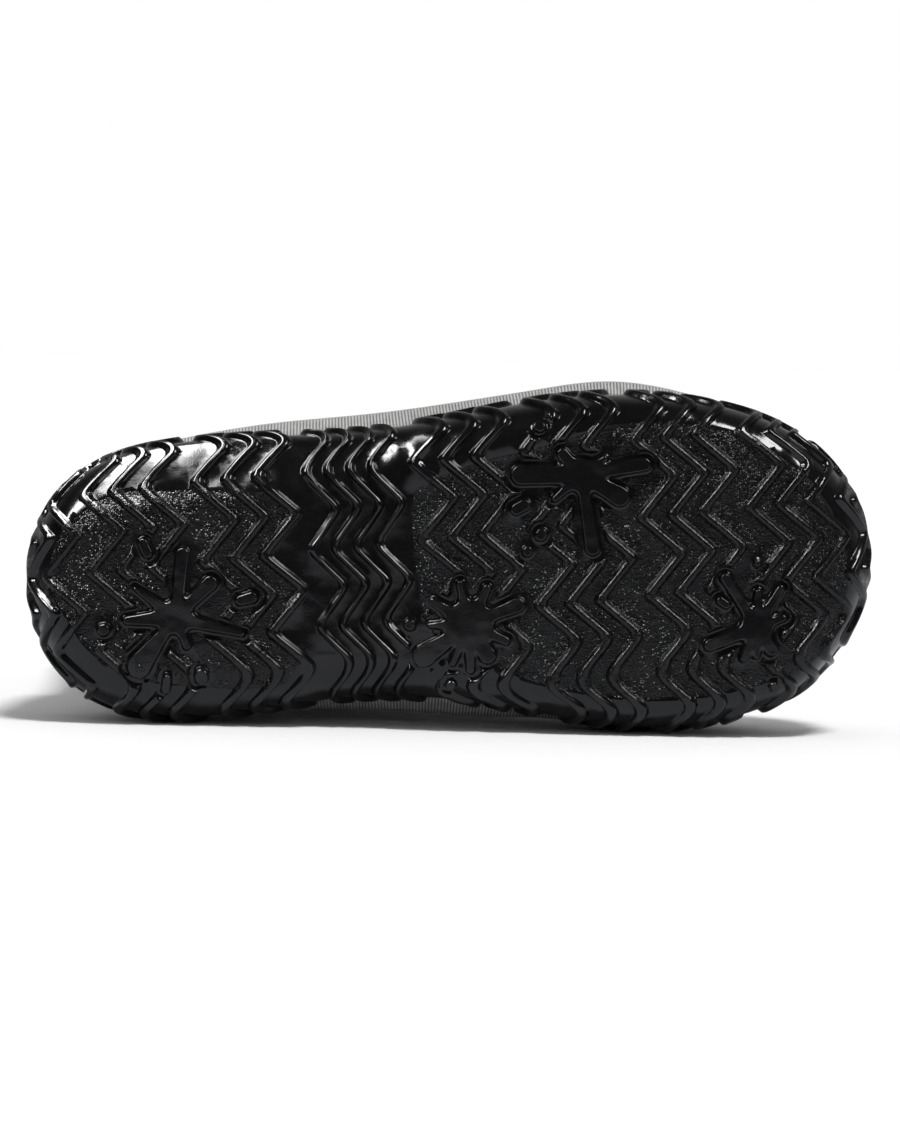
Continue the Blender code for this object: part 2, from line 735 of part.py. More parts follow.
class Shape:
    """Points and faces of one piece while it is put together."""

    def __init__(self):
        self.points = []
        self.faces = []

    def add(self, points):
        first = len(self.points)
        self.points += [tuple(map(float, point)) for point in points]
        return list(range(first, len(self.points)))

    def band(self, one, other):
        """Faces between two closed loops of as many points."""
        count = len(one)
        for i in range(count):
            j = (i + 1) % count
            self.faces.append((one[i], one[j], other[j], other[i]))

    def patch(self, loop, height_at, spacing):
        """Fills a flat-lying loop with triangles whose inner points follow a height over x."""
        rim = [Vector(self.points[i][:2]) * 1000 for i in loop]
        corners = np.array([self.points[i][:2] for i in loop])
        low, high = corners.min(axis=0) + spacing, corners.max(axis=0) - spacing
        inner = [
            (x, y)
            for x in np.arange(math.ceil(low[0] / spacing) * spacing, high[0], spacing)
            for y in np.arange(low[1], high[1], 2 * spacing)
            if inside_by(corners, (x, y), spacing / 2)
        ]
        extra = self.add([(x, y, float(height_at(x))) for x, y in inner])
        known = loop + extra
        made = delaunay_2d_cdt(
            rim + [Vector(point) * 1000 for point in inner], [], [list(range(len(loop)))], 1, MERGE * 1000
        )
        names = [known[sources[0]] for sources in made[3]]
        self.faces += [tuple(names[i] for i in face) for face in made[2]]

    def object(self, name, colour, roughness):
        """The finished object, faces turned outward and round stretches shaded smooth."""
        mesh = bpy.data.meshes.new(name)
        mesh.from_pydata(self.points, [], self.faces)
        work = bmesh.new()
        work.from_mesh(mesh)
        bmesh.ops.recalc_face_normals(work, faces=work.faces)
        work.to_mesh(mesh)
        work.free()
        made = bpy.data.objects.new(name, mesh)
        bpy.context.scene.collection.objects.link(made)
        mesh.shade_smooth()
        mesh.set_sharp_from_angle(angle=math.radians(35))
        mesh.materials.append(plain_material(name, colour, roughness))
        return made


def inside_by(corners, point, margin):
    """Whether a point lies inside a polygon and farther from its corners than a margin."""
    x, y = point
    if np.linalg.norm(corners - point, axis=1).min() < margin:
        return False
    ends = np.roll(corners, -1, axis=0)
    spans = (corners[:, 1] > y) != (ends[:, 1] > y)
    safe = np.where(spans, ends[:, 1] - corners[:, 1], 1.0)
    crossings = corners[:, 0] + (y - corners[:, 1]) / safe * (ends[:, 0] - corners[:, 0])
    return bool(np.count_nonzero(spans & (crossings > x)) % 2)


def plain_material(name, colour, roughness):
    """A Principled material of one colour."""
    material = bpy.data.materials.new(name)
    material.use_nodes = True
    shader = material.node_tree.nodes["Principled BSDF"]
    shader.inputs["Base Color"].default_value = (*colour, 1.0)
    shader.inputs["Roughness"].default_value = roughness
    shader.inputs["Metallic"].default_value = 0.0
    return material


def build_sole():
    """The moulded cup: tread with ribs and splats outside, wall and floor inside."""
    drawing, outer = tread_lines()
    flat, triangles = drawing.triangles(outer)
    places, away, arc, rim_arc = on_shell(flat)
    places += away * relief(flat, arc, rim_arc)[:, None]
    shape = Shape()
    shape.add(places)
    shape.faces += triangles
    ends = np.array([(face[i - 1], face[i]) for face in triangles for i in range(3)])
    ends.sort(axis=1)
    unique, counts = np.unique(ends, axis=0, return_counts=True)
    rim = chained([tuple(pair) for pair in unique[counts == 1].tolist()])[0]
    rim_plan = np.array([shape.points[i][:2] for i in rim])
    foot, outward, _ = OUTLINE.nearest(rim_plan)
    inner = foot - outward * CUP_WALL
    brim = shape.add(np.column_stack([inner, rim_height(foot[:, 0])]))
    base = shape.add(np.column_stack([inner, floor_height(inner[:, 0])]))
    shape.band(rim, brim)
    shape.band(brim, base)
    shape.patch(base, floor_height, FLOOR_STEP)
    return shape.object("sole", (0.012, 0.012, 0.013), 0.22)


def upper_ring(section, line):
    """One section of the upper, with a point for each point of the outline."""
    back, front, back_height, front_height, outer, inner, likeness = section
    turn = turn_of(line[:, 0] / SOLE_LENGTH)
    oval = np.sin(turn) ** OVAL_POWER
    on_outer = line[:, 1] < 0
    fine = np.linspace(0, math.pi, FINE_STEPS)
    outer_shape = outer_share(turn) / outer_share(fine).max()
    inner_shape = inner_share(turn) / inner_share(fine).max()
    half = np.where(on_outer, outer_shape, inner_shape) * likeness + oval * (1 - likeness)
    y = half * np.where(on_outer, -outer, inner) * BALL_WIDTH
    way = (1 - np.cos(turn)) / 2
    x = (back + (front - back) * way) * SOLE_LENGTH
    z = (back_height + (front_height - back_height) * way) * BOOT_HEIGHT
    return np.column_stack([x, y, z])


def upper_rings():
    """Every ring of the upper's outer face, from its lower edge in the cup to the collar."""
    line, outward = OUTLINE.places(UPPER_STEPS)
    seat = -(CUP_WALL + GAP)
    seated = line + outward * seat
    share = line[:, 0] / SOLE_LENGTH
    stand = np.where(line[:, 1] < 0, outer_puff(share), inner_puff(share)) * PUFF + RIB_HEIGHT
    rim = rim_height(line[:, 0])
    rings = [np.column_stack([seated, floor_height(seated[:, 0]) + GAP])]
    rings.append(np.column_stack([seated, rim + GAP]))
    for way, height in ((0.62, 0.35), (1.0, 1.0)):
        distance = seat + (stand - seat) * way
        plan = line + outward * distance[:, None]
        rings.append(np.column_stack([plan, rim + GAP + PUFF_HEIGHT * puff_rise(share) * height]))
    fixed = np.array([rings[-1], *(upper_ring(section, line) for section in UPPER_SECTIONS)])
    knots = np.arange(len(fixed))
    wanted = np.linspace(0, len(fixed) - 1, UPPER_ROWS + 1)[1:]
    columns = [
        [smooth_curve(knots, fixed[:, i, axis])(wanted) for axis in range(3)] for i in range(UPPER_STEPS)
    ]
    rings += list(np.array(columns).transpose(2, 0, 1))
    return with_cuff(np.array(rings))


def with_cuff(rings):
    """Adds the cuff below the collar, a step outward in the upper's wall."""
    top = rings[-1]
    heights = rings[:, :, 2].mean(axis=1)
    below = rings[heights < BOOT_HEIGHT - CUFF_HEIGHT - 2 * CUFF_STEP]
    last = below[-1]
    way = (BOOT_HEIGHT - CUFF_HEIGHT - last[:, 2:]) / (top[:, 2:] - last[:, 2:])
    foot = last + (top - last) * way
    middle = foot[:, :2].mean(axis=0)
    away = foot[:, :2] - middle
    away /= np.linalg.norm(away, axis=1, keepdims=True)
    out = np.column_stack([away * CUFF_STEP, np.full(len(away), CUFF_STEP)])
    raised_foot = foot + out
    raised_top = top + out * (1, 1, 0)
    return np.array([*below, foot, raised_foot, raised_top])


def ring_directions(rings):
    """Outward directions of a grid of rings."""
    up = np.gradient(rings, axis=0)
    around = np.roll(rings, -1, axis=1) - np.roll(rings, 1, axis=1)
    away = np.cross(around, up)
    return away / np.linalg.norm(away, axis=2, keepdims=True)


def build_upper():
    """The hollow textile upper, open at the collar and underneath."""
    outer = upper_rings()
    inner = outer - ring_directions(outer) * UPPER_WALL
    line, outward = OUTLINE.places(UPPER_STEPS)
    lining = line - outward * (CUP_WALL + GAP + UPPER_WALL)
    inner[0] = np.column_stack([lining, outer[0][:, 2]])
    inner[1] = np.column_stack([lining, outer[1][:, 2] + UPPER_WALL / 2])
    inner[-1][:, 2] = outer[-1][:, 2]
    shape = Shape()
    outside = [shape.add(ring) for ring in outer]
    inside = [shape.add(ring) for ring in inner]
    for one, other in zip(outside[:-1], outside[1:]):
        shape.band(one, other)
    for one, other in zip(inside[:-1], inside[1:]):
        shape.band(other, one)
    shape.band(inside[0], outside[0])
    shape.band(outside[-1], inside[-1])
    return shape.object("upper", (0.38, 0.38, 0.37), 0.9)


def build_insole():
    """The insole, which lies on the cup's floor inside the upper's lower edge."""
    inset = CUP_WALL + GAP + UPPER_WALL + GAP
    plan = OUTLINE.loop(UPPER_STEPS, -inset)

    def under(x):
        return floor_height(x) + GAP

    def over(x):
        return floor_height(x) + GAP + INSOLE_THICKNESS

    shape = Shape()
    low = shape.add(np.column_stack([plan, under(plan[:, 0])]))
    high = shape.add(np.column_stack([plan, over(plan[:, 0])]))
    shape.band(low, high)
    shape.patch(low, under, FLOOR_STEP)
    shape.patch(high, over, FLOOR_STEP)
    return shape.object("insole", (0.05, 0.05, 0.055), 0.85)


def weight_and_middle(made, density):
    """Weight of a closed mesh, and its weight times its middle."""
    made.data.calc_loop_triangles()
    points = np.array([tuple(vertex.co) for vertex in made.data.vertices])
    corners = points[np.array([tuple(face.vertices) for face in made.data.loop_triangles])]
    parts = np.einsum("ij,ij->i", corners[:, 0], np.cross(corners[:, 1], corners[:, 2])) / 6
    return density * parts.sum(), density * (parts[:, None] * corners.sum(axis=1) / 4).sum(axis=0)


def resting_face(pieces, middle):
    """Three points of the hull's face that lies under the middle of the weight when the inner side is down."""
    work = bmesh.new()
    for made in pieces:
        for vertex in made.data.vertices:
            work.verts.new(vertex.co)
    bmesh.ops.convex_hull(work, input=work.verts)
    bmesh.ops.triangulate(work, faces=work.faces)
    beyond = Vector(middle) + Vector((0, SOLE_LENGTH, 0))
    for face in work.faces:
        corners = [vertex.co.copy() for vertex in face.verts]
        sides = [
            (corners[k].x - corners[k - 1].x) * (beyond.z - corners[k - 1].z)
            - (corners[k].z - corners[k - 1].z) * (beyond.x - corners[k - 1].x)
            for k in range(3)
        ]
        same_side = min(sides) > 0 or max(sides) < 0
        if same_side and face.calc_center_median().y > middle[1]:
            normal = face.normal.copy()
            work.free()
            return corners[0], normal if normal.y > 0 else -normal
    work.free()
    raise ValueError("the boot has no face to rest on under its weight")


def lay_down(pieces):
    """Parents all pieces to one empty that lays the boot on its inner side, toe towards +X."""
    densities = (RUBBER_DENSITY, TEXTILE_DENSITY, FOAM_DENSITY)
    sums = [weight_and_middle(made, density) for made, density in zip(pieces, densities)]
    middle = sum(part for _, part in sums) / sum(weight for weight, _ in sums)
    _, down = resting_face(pieces, middle)
    toe = Vector((1, 0, 0))
    toe = (toe - down * toe.dot(down)).normalized()
    turn = Matrix((toe, (-down).cross(toe), -down)).to_4x4()
    corners = np.array([tuple(turn @ vertex.co) for made in pieces for vertex in made.data.vertices])
    low, high = corners.min(axis=0), corners.max(axis=0)
    shift = Matrix.Translation((-(low[0] + high[0]) / 2, -(low[1] + high[1]) / 2, -low[2]))
    boot = bpy.data.objects.new("boot", None)
    bpy.context.scene.collection.objects.link(boot)
    boot.matrix_world = shift @ turn
    for made in pieces:
        made.parent = boot


def main():
    """Builds the boot."""
    clear_scene()
    lay_down([build_sole(), build_upper(), build_insole()])


main()
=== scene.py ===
"""The look of a child's right wellington boot that lies on its inner side, tread towards the camera.

The moulded sole, the textile upper and the insole are rebuilt finely in the boot's own frame (x from heel
to toe, y towards the inner side of the foot, z up, rib tops at z = 0) and then laid down as the model lies.
"""

import logging
import math
from dataclasses import dataclass, field
from enum import Enum
from typing import Callable, Iterable, Sequence

import bpy
import numpy as np
from mathutils import Matrix, Vector
from mathutils.geometry import delaunay_2d_cdt
from mathutils.kdtree import KDTree


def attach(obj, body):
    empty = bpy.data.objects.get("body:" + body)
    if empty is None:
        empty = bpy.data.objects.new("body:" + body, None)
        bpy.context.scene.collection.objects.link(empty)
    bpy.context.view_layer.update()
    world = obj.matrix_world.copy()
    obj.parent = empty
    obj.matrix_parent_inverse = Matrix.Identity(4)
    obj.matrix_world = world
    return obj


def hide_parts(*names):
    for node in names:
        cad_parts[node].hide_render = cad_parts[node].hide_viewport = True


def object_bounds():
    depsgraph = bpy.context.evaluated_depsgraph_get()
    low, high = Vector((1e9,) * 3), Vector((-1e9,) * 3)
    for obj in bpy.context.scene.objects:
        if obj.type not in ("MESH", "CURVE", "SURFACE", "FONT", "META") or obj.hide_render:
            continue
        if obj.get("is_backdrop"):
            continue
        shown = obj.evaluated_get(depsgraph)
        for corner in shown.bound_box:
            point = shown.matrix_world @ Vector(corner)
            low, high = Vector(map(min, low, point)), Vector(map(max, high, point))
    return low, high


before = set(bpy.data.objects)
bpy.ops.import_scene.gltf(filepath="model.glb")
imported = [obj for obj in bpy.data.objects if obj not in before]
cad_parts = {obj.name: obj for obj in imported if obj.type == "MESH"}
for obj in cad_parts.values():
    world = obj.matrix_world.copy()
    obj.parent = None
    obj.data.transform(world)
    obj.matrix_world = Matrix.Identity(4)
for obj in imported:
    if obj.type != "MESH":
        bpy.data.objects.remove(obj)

Curve = Callable[[np.ndarray], np.ndarray]
LOG = logging.getLogger("boot")

# How the boot lies: rolled onto its inner side, tipped to rest on heel and ball, and placed
LYING_ROLL = math.radians(-90.42239)
LYING_TIP = math.radians(-2.94894)
LYING_PLACE = Vector((-0.102379, -0.083998, 0.033019))
LAID_DOWN = (
    Matrix.Translation(LYING_PLACE)
    @ Matrix.Rotation(LYING_TIP, 4, "Y")
    @ Matrix.Rotation(LYING_ROLL, 4, "X")
)


class Side(Enum):
    """The two sides of the foot, with the sign of y on each."""

    OUTER = -1
    INNER = 1


def smooth_curve(knots: Sequence[float], values: Sequence[float]) -> Curve:
    """A natural cubic spline, held level past both ends.

    Args:
        knots: rising places.
        values: one value for each place.

    Returns:
        A function that gives the curve's values at an array of places.
    """
    knots_at = np.asarray(knots, float)
    values_at = np.asarray(values, float)
    count = len(knots_at)
    gaps = np.diff(knots_at)
    slopes = np.diff(values_at) / gaps
    system = np.eye(count)
    right = np.zeros(count)
    for i in range(1, count - 1):
        system[i, i - 1 : i + 2] = gaps[i - 1], 2 * (gaps[i - 1] + gaps[i]), gaps[i]
        right[i] = 6 * (slopes[i] - slopes[i - 1])
    bends = np.linalg.solve(system, right)

    def value_at(place: np.ndarray) -> np.ndarray:
        """The curve's value at each place."""
        place = np.clip(place, knots_at[0], knots_at[-1])
        i = np.clip(np.searchsorted(knots_at, place, side="right") - 1, 0, count - 2)
        before = (knots_at[i + 1] - place) / gaps[i]
        after = 1 - before
        bend = (before**3 - before) * bends[i] + (after**3 - after) * bends[i + 1]
        return before * values_at[i] + after * values_at[i + 1] + bend * gaps[i] ** 2 / 6

    return value_at


def eased_curve(knots: Sequence[float], values: Sequence[float]) -> Curve:
    """A curve that is flat at every row of its table.

    Args:
        knots: rising places.
        values: one value for each place.

    Returns:
        A function that gives the curve's values at an array of places.
    """
    knots_at = np.asarray(knots, float)
    values_at = np.asarray(values, float)

    def value_at(place: np.ndarray) -> np.ndarray:
        """The curve's value at each place."""
        place = np.clip(place, knots_at[0], knots_at[-1])
        i = np.clip(np.searchsorted(knots_at, place, side="right") - 1, 0, len(knots_at) - 2)
        way = (place - knots_at[i]) / (knots_at[i + 1] - knots_at[i])
        return values_at[i] + (values_at[i + 1] - values_at[i]) * way * way * (3 - 2 * way)

    return value_at


def column(table: Sequence[Sequence[float]], number: int) -> list[float]:
    """One column of a table."""
    return [row[number] for row in table]


def turn_of(share: np.ndarray) -> np.ndarray:
    """The outline's angle, 0 at the heel and pi at the toe, for a share of the length."""
    return np.arccos(np.clip(1 - 2 * np.asarray(share, float), -1, 1))


def unit(vectors: np.ndarray) -> np.ndarray:
    """The vectors at length one."""
    return vectors / np.maximum(np.linalg.norm(vectors, axis=-1, keepdims=True), 1e-12)


def evenly(line: np.ndarray, count: int) -> np.ndarray:
    """The closed line again, with its points evenly spaced."""
    closed = np.vstack([line, line[:1]])
    walked = np.concatenate([[0], np.cumsum(np.linalg.norm(np.diff(closed, axis=0), axis=1))])
    places = np.linspace(0, walked[-1], count, endpoint=False)
    return np.stack([np.interp(places, walked, closed[:, i]) for i in (0, 1)], axis=1)


def outward_of(line: np.ndarray) -> np.ndarray:
    """Directions out of a closed line that runs anticlockwise."""
    along = np.roll(line, -1, axis=0) - np.roll(line, 1, axis=0)
    return unit(np.stack([along[:, 1], -along[:, 0]], axis=1))


def tree_of(line: np.ndarray) -> KDTree:
    """A search tree over points in plan."""
    tree = KDTree(len(line))
    for i, (x, y) in enumerate(line):
        tree.insert((x, y, 0), i)
    tree.balance()
    return tree


def nearest_in(tree: KDTree, points: np.ndarray) -> np.ndarray:
    """The number of the tree's nearest point for each point in plan."""
    return np.array([tree.find((x, y, 0))[1] for x, y in points.tolist()])


def soft_step(way: np.ndarray) -> np.ndarray:
    """0 to 1 over way 0 to 1, with a tight foot and a rounder top."""
    turned = 1 - (1 - np.clip(way, 0, 1)) ** 1.6
    return turned * turned * (3 - 2 * turned)


@dataclass
class SoleShell:
    """The bare moulded cup without its tread: outline, rounded edge, wall, arch, toe spring and floor."""

    length: float = 0.205
    ball_width: float = 0.083
    edge_run: float = 0.013
    edge_rise: float = 0.011
    rim_height: float = 0.024
    wall: float = 0.003
    floor_height: float = 0.0085
    arch_rise: float = 0.0035
    toe_spring: float = 0.0085
    heel_bevel: float = 0.0015
    rib_height: float = 0.0014
    edge_crease: float = 0.62
    crease_start: float = 0.3
    crease_blend: float = 0.0018
    fine_steps: int = 1440
    # Columns: share of the length, outer and inner half width as shares of the ball width
    outline_shares: Sequence[Sequence[float]] = (
        (0.03, 0.239, 0.250),
        (0.10, 0.368, 0.385),
        (0.20, 0.415, 0.418),
        (0.30, 0.424, 0.395),
        (0.40, 0.430, 0.378),
        (0.50, 0.460, 0.391),
        (0.60, 0.500, 0.437),
        (0.70, 0.514, 0.484),
        (0.80, 0.487, 0.479),
        (0.90, 0.402, 0.404),
        (0.97, 0.245, 0.240),
    )
    # Columns: share of the length, then edge run, rim and floor as shares of their sizes
    stations: Sequence[Sequence[float]] = (
        (0.00, 0.72, 1.40, 1.45),
        (0.14, 1.00, 1.20, 1.42),
        (0.32, 0.96, 1.02, 1.46),
        (0.50, 0.68, 1.00, 1.25),
        (0.70, 0.62, 1.02, 1.00),
        (0.88, 0.58, 1.18, 1.22),
        (1.00, 0.55, 1.32, 1.90),
    )
    # Columns: share of the length, then arch, toe spring and heel bevel as shares of their sizes
    lifts: Sequence[Sequence[float]] = (
        (0.00, 0.0, 0.00, 1.0),
        (0.06, 0.0, 0.00, 0.0),
        (0.30, 0.0, 0.00, 0.0),
        (0.36, 0.9, 0.00, 0.0),
        (0.41, 1.0, 0.00, 0.0),
        (0.45, 0.6, 0.00, 0.0),
        (0.49, 0.0, 0.00, 0.0),
        (0.80, 0.0, 0.00, 0.0),
        (0.90, 0.0, 0.28, 0.0),
        (1.00, 0.0, 1.00, 0.0),
    )
    # Columns: share of the length, then how creased the outer edge's foot is, as a share of its slope
    creased: Sequence[Sequence[float]] = (
        (0.00, 0.40),
        (0.10, 1.00),
        (0.29, 1.00),
        (0.38, 0.60),
        (0.52, 0.25),
        (1.00, 0.25),
    )

    def __post_init__(self) -> None:
        """Makes the curves and the fine outline."""
        angles = [0.0, *(float(turn_of(share)) for share in column(self.outline_shares, 0)), math.pi]
        self.half = {
            Side.OUTER: smooth_curve(angles, [0.0, *column(self.outline_shares, 1), 0.0]),
            Side.INNER: smooth_curve(angles, [0.0, *column(self.outline_shares, 2), 0.0]),
        }
        places = column(self.stations, 0)
        self.run_share = smooth_curve(places, column(self.stations, 1))
        self.rim_share = smooth_curve(places, column(self.stations, 2))
        self.floor_share = smooth_curve(places, column(self.stations, 3))
        places = column(self.lifts, 0)
        self.arch_share = eased_curve(places, column(self.lifts, 1))
        self.spring_share = eased_curve(places, column(self.lifts, 2))
        self.bevel_share = eased_curve(places, column(self.lifts, 3))
        self.crease_share = eased_curve(column(self.creased, 0), column(self.creased, 1))
        turns = np.linspace(0, 2 * math.pi, self.fine_steps, endpoint=False)
        on_outer = turns <= math.pi
        half = np.where(on_outer, self.half[Side.OUTER](turns), self.half[Side.INNER](2 * math.pi - turns))
        y = np.where(on_outer, Side.OUTER.value, Side.INNER.value) * half * self.ball_width
        over_ribs = evenly(np.stack([self.length * (1 - np.cos(turns)) / 2, y], axis=1), self.fine_steps)
        bare = over_ribs - outward_of(over_ribs) * self.rib_height
        self.line = evenly(bare, self.fine_steps)
        self.outward = outward_of(self.line)
        self.tree = tree_of(self.line)

    def lift(self, x: np.ndarray) -> np.ndarray:
        """How far the tread is raised at the heel's back, the arch and the toe."""
        share = x / self.length
        rise = self.arch_rise * self.arch_share(share) + self.toe_spring * self.spring_share(share)
        return rise + self.heel_bevel * self.bevel_share(share)

    def floor(self, x: np.ndarray) -> np.ndarray:
        """Height of the floor inside."""
        return self.floor_height * self.floor_share(x / self.length)

    def rim(self, x: np.ndarray) -> np.ndarray:
        """Height of the rim."""
        return self.rim_height * self.rim_share(x / self.length)

    def run(self, x: np.ndarray) -> np.ndarray:
        """How far in from the outline the rounded edge starts."""
        return self.edge_run * self.run_share(x / self.length)

    def edge_arc(self, run: np.ndarray) -> np.ndarray:
        """Length round the rounded edge."""
        return math.pi / 2 * np.sqrt((run**2 + self.edge_rise**2) / 2)

    def arc_at_rim(self, x: np.ndarray) -> np.ndarray:
        """Length from the flat tread round the edge and up to the rim."""
        wall = self.rim(x) - self.rib_height - self.lift(x) - self.edge_rise
        return self.edge_arc(self.run(x)) + wall

    def loop(self, count: int, distance: np.ndarray) -> np.ndarray:
        """The outline moved outward, with evenly spaced points.

        Args:
            count: how many points, a divisor of fine_steps.
            distance: how far outward, one number or one for each point.

        Returns:
            The points in plan.
        """
        step = self.fine_steps // count
        return self.line[::step] + self.outward[::step] * np.reshape(distance, (-1, 1))

    def nearest(self, points: np.ndarray) -> tuple[np.ndarray, np.ndarray, np.ndarray]:
        """Finds the nearest place on the outline.

        Args:
            points: places in plan.

        Returns:
            For each point the place, its outward direction and the signed distance past it.
        """
        best = nearest_in(self.tree, points)
        found: list[tuple[np.ndarray, np.ndarray, np.ndarray]] = []
        for first in (best - 1, best):
            start, end = self.line[first], self.line[(first + 1) % self.fine_steps]
            span = end - start
            way = np.clip(((points - start) * span).sum(axis=1) / (span**2).sum(axis=1), 0, 1)[:, None]
            blend = self.outward[first] * (1 - way) + self.outward[(first + 1) % self.fine_steps] * way
            foot = start + way * span
            found.append((foot, unit(blend), ((points - foot) ** 2).sum(axis=1)))
        nearer = (found[1][2] < found[0][2])[:, None]
        foot = np.where(nearer, found[1][0], found[0][0])
        outward = np.where(nearer, found[1][1], found[0][1])
        return foot, outward, ((points - foot) * outward).sum(axis=1)

    def places(self, flat: np.ndarray) -> tuple[np.ndarray, np.ndarray, np.ndarray, np.ndarray]:
        """Places of the flattened tread on the bare shell.

        Args:
            flat: points of the flattened tread, the plan with the edge and the wall unrolled around it.

        Returns:
            Places, outward directions, length past the flat part, and that length at the rim.
        """
        foot, outward, distance = self.nearest(flat)
        run = self.run(foot[:, 0])
        arc = distance + run
        whole = self.edge_arc(run)
        turn = np.clip(arc / whole, 0, 1) * math.pi / 2
        plan = np.where(arc[:, None] <= 0, flat, foot - outward * (run * (1 - np.sin(turn)))[:, None])
        crease = self.edge_crease * self.crease_share(foot[:, 0] / self.length)
        crease = crease * np.clip(-outward[:, 1], 0, 1) ** 2
        climb = self.edge_rise * (1 - np.cos(turn)) + np.maximum(arc - whole, 0)
        climb = climb + crease * run * np.sin(turn) * (1 - np.sin(turn))
        height = self.rib_height + self.lift(plan[:, 0]) + climb
        nudge = self.length / self.fine_steps
        slope = (self.lift(plan[:, 0] + nudge) - self.lift(plan[:, 0] - nudge)) / (2 * nudge)
        past = crease * np.clip(self.crease_start + arc / self.crease_blend, 0, 1)
        sideways = np.sin(turn) / run + past * np.cos(turn) * (1 - 2 * np.sin(turn)) / self.edge_rise
        down = np.cos(turn) / self.edge_rise
        away = np.column_stack([outward[:, 0] * sideways + slope * down, outward[:, 1] * sideways, -down])
        return np.column_stack([plan, height]), unit(away), arc, self.arc_at_rim(foot[:, 0])


@dataclass(frozen=True)
class Rib:
    """One zigzag rib, across the whole sole and up both walls, in the turned coordinates of the pattern."""

    centre: float
    half: float
    reach: float
    side: float
    step: float
    first_row: float
    rounding: float
    wall_rounding: float = 0.0022
    wall_start: float = 0.020
    wall_blend: float = 0.014

    def middle(self, across: np.ndarray) -> np.ndarray:
        """Where the rib's middle line lies along the sole, its bends rounder on the walls."""
        place = (across - self.first_row) / self.step
        bend = np.round(place)
        off = np.abs(place - bend) * self.step
        on_wall = np.clip((np.abs(across) - self.wall_start) / self.wall_blend, 0, 1)
        rounding = self.rounding + self.wall_rounding * on_wall
        soft = np.where(off < rounding, off**2 / (2 * rounding) + rounding / 2, off)
        to_toe = 1 - 2 * np.mod(bend, 2)
        return self.centre + self.reach * to_toe * (1 - 2 * soft / self.step)

    def presence(self, along: np.ndarray, across: np.ndarray) -> np.ndarray:
        """1 on the rib's top, 0 beside it."""
        return soft_step((self.half - np.abs(along - self.middle(across))) / self.side)


@dataclass(frozen=True)
class Arm:
    """A tapered round-ended arm or drop of a splashed shape, in shares of the shape's reach."""

    direction: float
    start: float
    end: float
    start_radius: float
    end_radius: float

    def distance(self, away: np.ndarray, reach: float) -> np.ndarray:
        """Distance from the arm, negative inside."""
        turn = math.radians(self.direction)
        along = np.array([math.cos(turn), math.sin(turn)])
        start, end = self.start * reach, self.end * reach
        way = np.clip((away @ along - start) / (end - start), 0, 1)
        off = np.linalg.norm(away - np.outer(start + way * (end - start), along), axis=1)
        return off - self.start_radius * reach - way * (self.end_radius - self.start_radius) * reach


@dataclass(frozen=True)
class Splat:
    """A splashed shape: a round middle with arms and loose drops."""

    along: float
    across: float
    radius: float
    arms: tuple[Arm, ...]
    corner_softness: float = 0.03
    largest_power: float = 600.0
    smallest_sum: float = 1e-280

    def distance(self, points: np.ndarray, centre: np.ndarray, reach: float) -> np.ndarray:
        """Distance from the shape, negative inside, with soft inner corners between its arms."""
        softness = reach * self.corner_softness
        away = points - centre
        loose = np.full(len(points), np.inf)
        into_middle = self.radius * reach - np.linalg.norm(away, axis=1)
        joined = np.exp(np.minimum(into_middle / softness, self.largest_power))
        for arm in self.arms:
            distance = arm.distance(away, reach)
            if arm.start == 0:
                joined = joined + np.exp(np.minimum(-distance / softness, self.largest_power))
            else:
                loose = np.minimum(loose, distance)
        return np.minimum(loose, -softness * np.log(np.maximum(joined, self.smallest_sum)))


def splat(along: float, across: float, radius: float, *arms: tuple[float, ...]) -> Splat:
    """A splashed shape from plain numbers."""
    return Splat(along, across, radius, tuple(Arm(*arm) for arm in arms))


@dataclass(frozen=True)
class RibGroup:
    """Ribs that follow one another at one pitch."""

    first: float
    count: int
    fine: bool = False


